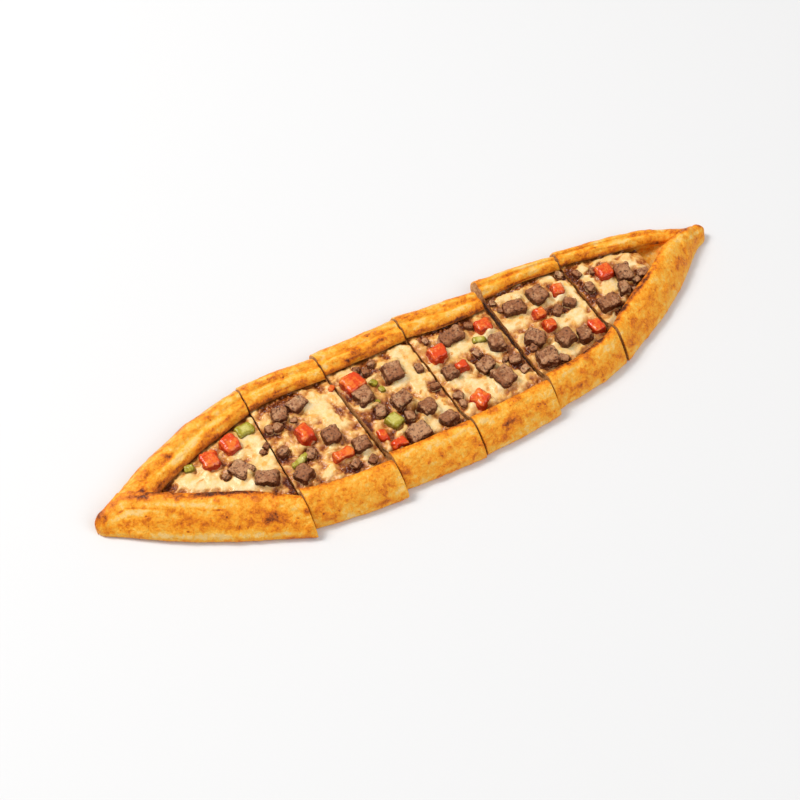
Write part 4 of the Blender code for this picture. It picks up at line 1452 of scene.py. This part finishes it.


# Each slice has its sizes as in Cut, its patches, its loose bits, and the blotches of its two rims; its deep
# patches are pits darkened with painted shade.
CUTS: tuple[Cut, ...] = (
    Cut(1, -216.2, -105, (2, -1.8), (0, 5), (0, 0.03), (0, 0.6), 3, (-172, -105),
        spread(
            cheese=((-148, 4, 18, 7, -25), (-130, -8, 17, 6, -35), (-114, 14, 9, 12), (-112, 0, 9, 10),
                (-124, 12, 7, 4, 20), (-160, 11, 8, 3.5, 20)),
            mince=((-128, 4, 7, 6), (-168, 12, 4, 4), (-107, -24, 3, 8), (-110, 6, 2.5, 3),
                (-136, 2, 2.5, 3.5)),
            toast=((-117, 6, 3.4, 1.8, 30), (-113, -1.5, 3, 2.2, -20), (-108, -8, 3, 1.6, -30),
                (-117, 14, 2, 1.6), (-135, 3, 2.4, 2.8), (-152, 5, 2.5, 1, 30))),
        many(Crumb, (-122, 0, 5.5), (-153, 17, 6, "pepper"), (-137, 1.5, 4.5), (-110.5, 6, 4),
            (-106.8, 9, 4.5)),
        many(Blotch, (-160, 0.21, 45, 0.05, -0.22), (-172, 0.42, 14, 0.05, 0.16),
            (-150, 0.35, 12, 0.05, 0.22), (-128, 0.43, 10, 0.1, 0.3), (-118, 0.12, 8, 0.08, 0.28),
            (-125, 0.56, 6, 0.08, 0.2), (-107, 0.62, 3, 0.05, 0.38), (-135, 0.8, 10, 0.08, 0.26),
            (-169, 0.52, 3, 0.05, 0.25), (-175, 0.73, 12, 0.05, -0.42), (-160, 0.72, 8, 0.04, -0.3),
            (-148, 0.69, 8, 0.05, -0.32), (-145, 0.79, 8, 0.06, -0.22), (-197, 0.57, 10, 0.05, -0.36),
            (-188, 0.61, 7, 0.03, -0.3), (-115, 0.7, 8, 0.1, -0.2), (-205, 0.55, 6, 0.08, -0.18),
            (-195, 0.645, 11, 0.018, 0.36), (-198, 0.84, 8, 0.06, 0.34), (-188, 0.84, 6, 0.05, 0.35),
            (-211, 0.66, 4, 0.12, 0.2), (-213, 0.82, 5, 0.16, 0.5), (-186, 0.78, 6, 0.05, 0.22),
            (-143, 0.94, 16, 0.07, 0.62), (-165, 0.86, 10, 0.04, 0.3), (-180, 0.95, 8, 0.06, 0.28),
            (-155, 0.9, 8, 0.06, 0.3), (-122, 0.93, 12, 0.1, 0.2), (-152, 0.635, 2.5, 0.014, 0.6),
            (-171.5, 0.29, 0.8, 0.014, 0.9)),
        many(Blotch, (-160, 0.07, 12, 0.03, 0.26), (-172, 0.08, 6, 0.03, 0.2), (-165, 0.2, 14, 0.06, -0.22),
            (-150, 0.17, 8, 0.05, -0.26), (-160, 0.32, 5, 0.05, 0.36), (-152, 0.3, 2, 0.02, 0.2),
            (-122, 0.16, 14, 0.03, 0.26), (-140, 0.12, 10, 0.03, 0.16), (-110, 0.32, 5, 0.06, -0.15),
            (-128, 0.25, 12, 0.04, -0.16), (-178, 0.35, 4, 0.04, 0.26), (-185, 0.28, 5, 0.05, 0.12),
            (-140, 0.7, 20, 0.1, 0.15))),
    Cut(2, -105, -50.5, (1.7, -2.1), (2.6, 0), (0.03, -0.05), (0.6, 0.6), 1, (-105, -50.5),
        spread(
            cheese=((-67, 19, 9, 10, 20), (-62, 4, 9, 9), (-84, -25, 6, 4), (-97, 27, 5, 4.5),
                (-92, 13, 3, 4), (-73, -11, 5, 3), (-56, -26, 4, 4), (-54, 22, 4, 9)),
            mince=((-85, 30, 15, 8), (-95, 17, 9, 6, -10), (-100, 0, 4, 6), (-87, -9, 7, 4, 10),
                (-68, -29, 6, 4), (-57, 8, 3, 6)),
            toast=((-72, 14, 3.5, 2.2, 10), (-60, 27, 4.5, 2.4, -30), (-57, 20, 3, 4), (-79, -27, 3.5, 2),
                (-81, -20, 2, 2), (-94, 12, 2, 2.4), (-68, 9, 2, 1))),
        many(Crumb, (-100, 0, 7.5), (-86.5, -9.5, 7.5), (-67, -28.5, 6.5), (-57, -31, 6.5), (-95, 16.5, 7),
            (-100, 18, 6), (-84, 17, 4.5), (-53.5, 26, 4.5, "tomato")),
        many(Blotch, (-66, 0.23, 7, 0.07, 0.5), (-61, 0.52, 3, 0.06, 0.32), (-83, 0.72, 2.6, 0.04, 0.34),
            (-95, 0.25, 6, 0.05, 0.22), (-73, 0.8, 3, 0.03, 0.24), (-98, 0.64, 1.6, 0.03, 0.3),
            (-76, 0.78, 5, 0.08, -0.22), (-103, 0.78, 3, 0.05, -0.25), (-58, 0.3, 6, 0.1, -0.12),
            (-53, 0.35, 3, 0.2, -0.2), (-92, 0.94, 10, 0.05, 0.1), (-70, 0.93, 9, 0.05, -0.08),
            (-96, 0.17, 7, 0.03, 0.2)),
        many(Blotch, (-78, 0.1, 10, 0.02, 0.36), (-65, 0.13, 8, 0.02, 0.22), (-90, 0.17, 14, 0.03, -0.26),
            (-82, 0.38, 8, 0.03, 0.36), (-103, 0.07, 2, 0.02, 0.3), (-60, 0.3, 6, 0.08, 0.1),
            (-80, 0.27, 14, 0.04, -0.12))),
    Cut(3, -50.5, 5, (1.9, -0.5), (-1.4, 0), (-0.05, -0.02), (0.6, 0.8), 1, (-50.5, 5),
        spread(
            cheese=((-4, 27, 9, 9), (-15, 9.5, 13, 4), (-3, 12, 7, 12), (-6, 1, 6, 8), (-41, 33, 5, 4),
                (-14, -25, 4.5, 8), (-2, -20, 5, 8), (-41, 5, 6, 4), (-31, -21, 5, 2.5), (-29, 22, 4, 3)),
            mince=((-30, 28, 7, 6), (-37, -3, 8, 5), (-24, -14, 6, 7), (-48, -8, 4, 8), (1, -3, 4, 7),
                (0, 14, 4, 5), (-45, 14, 5, 5)),
            deep=((-17, -12, 2.2, 2.4),),
            toast=((-3, 24, 2.4, 2), (-2, 4, 2.6, 1.4), (-8, -1, 2.4, 1.2), (-11, -7, 2.4, 2.6),
                (0.5, -16, 1.6, 2), (1, -25, 2, 4.5), (-30, 5, 3, 3), (-45, 8, 2.2, 2.2), (-18, 30, 3, 2))),
        many(Crumb, (-36, -3.5, 8.5), (-23, -15, 7.5), (-0.5, 12.5, 6.5), (1, -4, 6), (-30, 26, 6),
            (-24, 30, 5.5), (-29.5, 17, 5, "pepper"), (-27.5, 10.5, 4.5, "pepper"), (-34, 4, 3.5, "pepper"),
            (-34, 31, 4.5)),
        many(Blotch, (-46, 0.55, 5, 0.1, 0.13), (-9, 0.62, 3, 0.05, 0.2), (-5, 0.95, 6, 0.06, 0.36),
            (-20, 0.95, 12, 0.06, 0.14), (-45, 0.3, 4, 0.1, -0.1), (-12, 0.75, 10, 0.05, -0.2),
            (-2, 0.8, 4, 0.06, -0.32), (-40, 0.8, 10, 0.05, -0.18), (-20, 0.17, 8, 0.04, 0.3),
            (-30, 0.45, 9, 0.05, -0.08)),
        many(Blotch, (-30, 0.1, 12, 0.03, 0.3), (-42, 0.22, 6, 0.05, -0.36), (-25, 0.33, 10, 0.04, -0.26),
            (-5, 0.27, 6, 0.05, -0.32), (-10, 0.17, 8, 0.04, 0.16), (-40, 0.5, 8, 0.1, 0.14))),
    Cut(4, 5, 60.3, (1.0, -3.0), (0, -3.5), (-0.02, -0.03), (0.6, 1.6), 1, (5, 60.3),
        spread(
            cheese=((28, 15, 12, 7), (50, 14, 8, 6), (8, 9, 7, 4), (16, -7, 11, 4, 10), (44, 10, 5, 7),
                (25, -15, 13, 6), (13, -22, 5, 8), (31, -25, 5, 6), (26, 26, 6, 3.5, -20), (48, -22, 6, 6),
                (46, 2, 3, 8, 20)),
            mince=((35, 30, 13, 5), (18, 33, 9, 3), (35, 2, 7, 7), (9.5, -18, 3.5, 9), (55, -12, 5, 9)),
            toast=((16, -15, 2, 2.4), (30, -12, 2.4, 2), (27, -18, 2.4, 1.8), (37, -11, 2.4, 1.6),
                (22, 12, 2.2, 1.6), (31, -25, 1.6, 2), (53, -25, 3, 2), (20, 8, 2, 1.2))),
        many(Crumb, (36, 4, 6.5), (9.8, -17, 6.5), (9.5, -23, 5.5), (53.5, -11, 8), (55, -20, 6),
            (42, 25, 6), (21, 23, 5.5), (13.5, 28, 5), (48, -8, 4.5)),
        many(Blotch, (24, 0.55, 6, 0.09, 0.36), (22, 0.42, 4, 0.05, 0.25), (19, 0.87, 5, 0.07, 0.46),
            (46, 0.58, 2.6, 0.05, 0.38), (10, 0.42, 4, 0.06, 0.16), (39, 0.5, 2, 0.04, 0.22),
            (10, 0.76, 6, 0.06, -0.36), (53, 0.7, 4, 0.1, -0.22), (15, 0.6, 4, 0.1, -0.18),
            (40, 0.33, 10, 0.06, -0.12), (46, 0.83, 1.4, 0.02, 0.3), (30, 0.3, 8, 0.08, -0.12)),
        many(Blotch, (15, 0.08, 8, 0.04, 0.3), (35, 0.03, 12, 0.03, 0.4), (20, 0.27, 10, 0.04, -0.36),
            (45, 0.22, 10, 0.05, -0.32), (37, 0.4, 4, 0.04, 0.42), (13, 0.4, 8, 0.05, 0.36),
            (45, 0.35, 10, 0.04, 0.12))),
    Cut(5, 60.3, 116.3, (2.3, -2.6), (-1.7, -2.4), (0.005, -0.01), (1.3, 1.0), 1, (60.3, 116.3),
        spread(
            cheese=((70, 14, 9, 8), (82, 31, 7, 6, -30), (104, 34, 4, 6), (101, 17, 11, 4),
                (100, 0, 13, 7, -5), (80, -18, 7, 7), (90, -22, 9, 4, 10), (65, 0, 4, 5),
                (72, 34, 8, 3, -10), (111, 22, 4, 6), (111, 5, 4, 9)),
            mince=((98, 9, 11, 5), (68, -9, 5, 3), (80, -26, 5, 3), (112, 31, 5, 4), (63, 34, 4, 4),
                (76, 37, 16, 2)),
            toast=((73.5, 14, 2.4, 1.8), (70, 10.5, 1.8, 1.6), (66, 15.5, 1.8, 2), (98.5, -5, 1.8, 2),
                (97, -1, 2, 1.6), (83, 22, 2, 2), (62.5, -9, 1.6, 3), (94, -24, 3, 1.4))),
        many(Crumb, (95.5, 7.5, 8), (105.5, 9, 8.5), (79.5, -25, 7), (68, -9, 6), (66, 25, 5),
            (112, 31, 5.5), (64, 33, 5)),
        many(Blotch, (78, 0.4, 3.6, 0.05, 0.28), (95, 0.47, 2.6, 0.05, 0.26), (90, 0.4, 6, 0.05, 0.12),
            (86, 0.68, 1, 0.03, 0.4), (95, 0.2, 2, 0.04, 0.24), (111, 0.45, 4, 0.12, 0.16),
            (97, 0.93, 14, 0.06, 0.46), (70, 0.93, 10, 0.05, 0.32), (83, 0.88, 3, 0.03, 0.3),
            (65, 0.65, 5, 0.08, -0.32), (105, 0.72, 7, 0.08, -0.22), (72, 0.75, 6, 0.05, -0.2)),
        many(Blotch, (90, 0.04, 16, 0.03, 0.46), (65, 0.22, 5, 0.06, -0.32), (72, 0.13, 6, 0.04, -0.1),
            (88, 0.22, 10, 0.05, -0.16), (92, 0.35, 10, 0.04, -0.3), (108, 0.3, 6, 0.06, -0.3),
            (108, 0.12, 5, 0.04, 0.22))),
    Cut(6, 116.3, 216.2, (-1.5, -1.5), (-1, 0), (-0.01, 0), (1.0, 0), 4, (116.3, 168),
        spread(
            cheese=((126, 19, 5, 6), (141, 8, 10, 5), (133, 8, 6, 4), (127, 28, 5, 3), (146, 28, 14, 3, -8),
                (157, 19, 5, 7, 20), (124, -13, 5, 3.5, 20), (161, 12, 4, 3)),
            mince=((120, 24, 4, 12), (121, 9, 5, 7), (158, 6, 6, 4), (146, -1, 5, 5), (132, 22, 4, 4),
                (133, -11, 6, 3, 20)),
            deep=((163, 27, 6, 2.5, -10),),
            toast=((128, 9, 2, 1.8), (134, 30, 3, 1.4), (160, 13, 2.4, 1.6))),
        many(Crumb, (158.5, 6, 8), (152, 3.5, 5.5), (123.5, 13, 7.5), (122, 26, 6), (131.5, 23, 4.5),
            (147, -3, 5.5), (134, -12, 5)),
        many(Blotch, (126, 0.42, 6, 0.08, 0.18), (150, 0.52, 7, 0.1, 0.14), (170, 0.35, 3, 0.04, 0.28),
            (183, 0.55, 3, 0.05, 0.3), (132, 0.6, 3, 0.05, 0.12), (130, 0.93, 12, 0.06, 0.42),
            (150, 0.9, 12, 0.04, 0.36), (158, 0.92, 4, 0.05, 0.3), (118, 0.7, 3, 0.06, -0.32),
            (165, 0.6, 10, 0.1, -0.16), (190, 0.85, 10, 0.08, -0.26), (205, 0.65, 8, 0.07, -0.36),
            (178, 0.8, 6, 0.06, -0.12), (213, 0.8, 4, 0.1, 0.3), (200, 0.92, 5, 0.05, 0.22)),
        many(Blotch, (143, 0.22, 4, 0.03, 0.38), (150, 0.14, 12, 0.02, 0.26), (118, 0.2, 3, 0.06, 0.16),
            (130, 0.27, 8, 0.03, -0.22), (165, 0.22, 10, 0.04, -0.12), (170, 0.28, 8, 0.02, 0.18),
            (190, 0.2, 8, 0.05, 0.1))),
)


@dataclass(frozen=True)
class Studio:
    """Floor, lights and camera."""

    camera_place: tuple[float, float, float] = (-0.3479, -0.5663, 0.9426)
    camera_turn: tuple[float, float, float] = (35.0, 0.0, -30.0)
    camera_lens: float = 85.5
    sensor: float = 36.0
    nearest: float = 0.05
    floor_side: float = 8.0
    white: tuple[float, float, float] = (1, 1, 1)
    warm: tuple[float, float, float] = (1, 0.99, 0.97)
    sky_strength: float = 0.40

    def build(self) -> None:
        """Builds the studio."""
        self.floor()
        self.light("key", (-1.15, 1.35, 2.3), 1.2, 54.5, self.warm)
        self.light("glint", (-0.95, 1.20, 2.0), 0.22, 9, self.white)
        self.light("fill", (0.9, -1.6, 2.0), 1.8, 23, self.white)
        self.world()
        self.camera()

    def floor(self) -> None:
        """A wide pale floor at the pide's feet."""
        deselect()
        bpy.ops.mesh.primitive_grid_add(x_subdivisions=4, y_subdivisions=4, size=self.floor_side)
        floor = bpy.context.object
        floor.name = floor.data.name = "studio_floor"
        floor.data.materials.append(FloorFinish().material())

    def light(self, name: str, place: tuple[float, float, float], size: float, power: float,
              colour: tuple[float, float, float]) -> None:
        """A square soft light that faces the pide.

        Args:
            name: the light's name.
            place: where it hangs.
            size: its side in metres.
            power: its power in watts.
            colour: its colour.
        """
        deselect()
        bpy.ops.object.light_add(type="AREA", location=place)
        lamp = bpy.context.object
        lamp.name = name
        lamp.data.size = size
        lamp.data.energy = power
        lamp.data.color = colour
        lamp.rotation_euler = (-Vector(place)).to_track_quat("-Z", "Y").to_euler()

    def world(self) -> None:
        """Even white light from all round."""
        world = bpy.data.worlds.new("studio")
        world.use_nodes = True
        sky = world.node_tree.nodes["Background"]
        sky.inputs["Color"].default_value = (*self.white, 1)
        sky.inputs["Strength"].default_value = self.sky_strength
        bpy.context.scene.world = world
        bpy.context.scene.view_settings.view_transform = "Standard"
        bpy.context.scene.view_settings.look = "None"

    def camera(self) -> None:
        """The camera that took the picture."""
        deselect()
        bpy.ops.object.camera_add(location=self.camera_place,
                                  rotation=[math.radians(angle) for angle in self.camera_turn])
        camera = bpy.context.object
        camera.name = "camera"
        camera.data.lens = self.camera_lens
        camera.data.sensor_width = self.sensor
        camera.data.clip_start = self.nearest
        bpy.context.scene.camera = camera


def main() -> None:
    """Loads the frame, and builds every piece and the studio."""
    logging.basicConfig(level=logging.INFO, format="%(name)s: %(message)s")
    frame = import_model()
    deselect()
    kitchen = Kitchen(frame)
    kitchen.slices(kitchen.toppings())
    Studio().build()


if __name__ == "__main__":
    main()
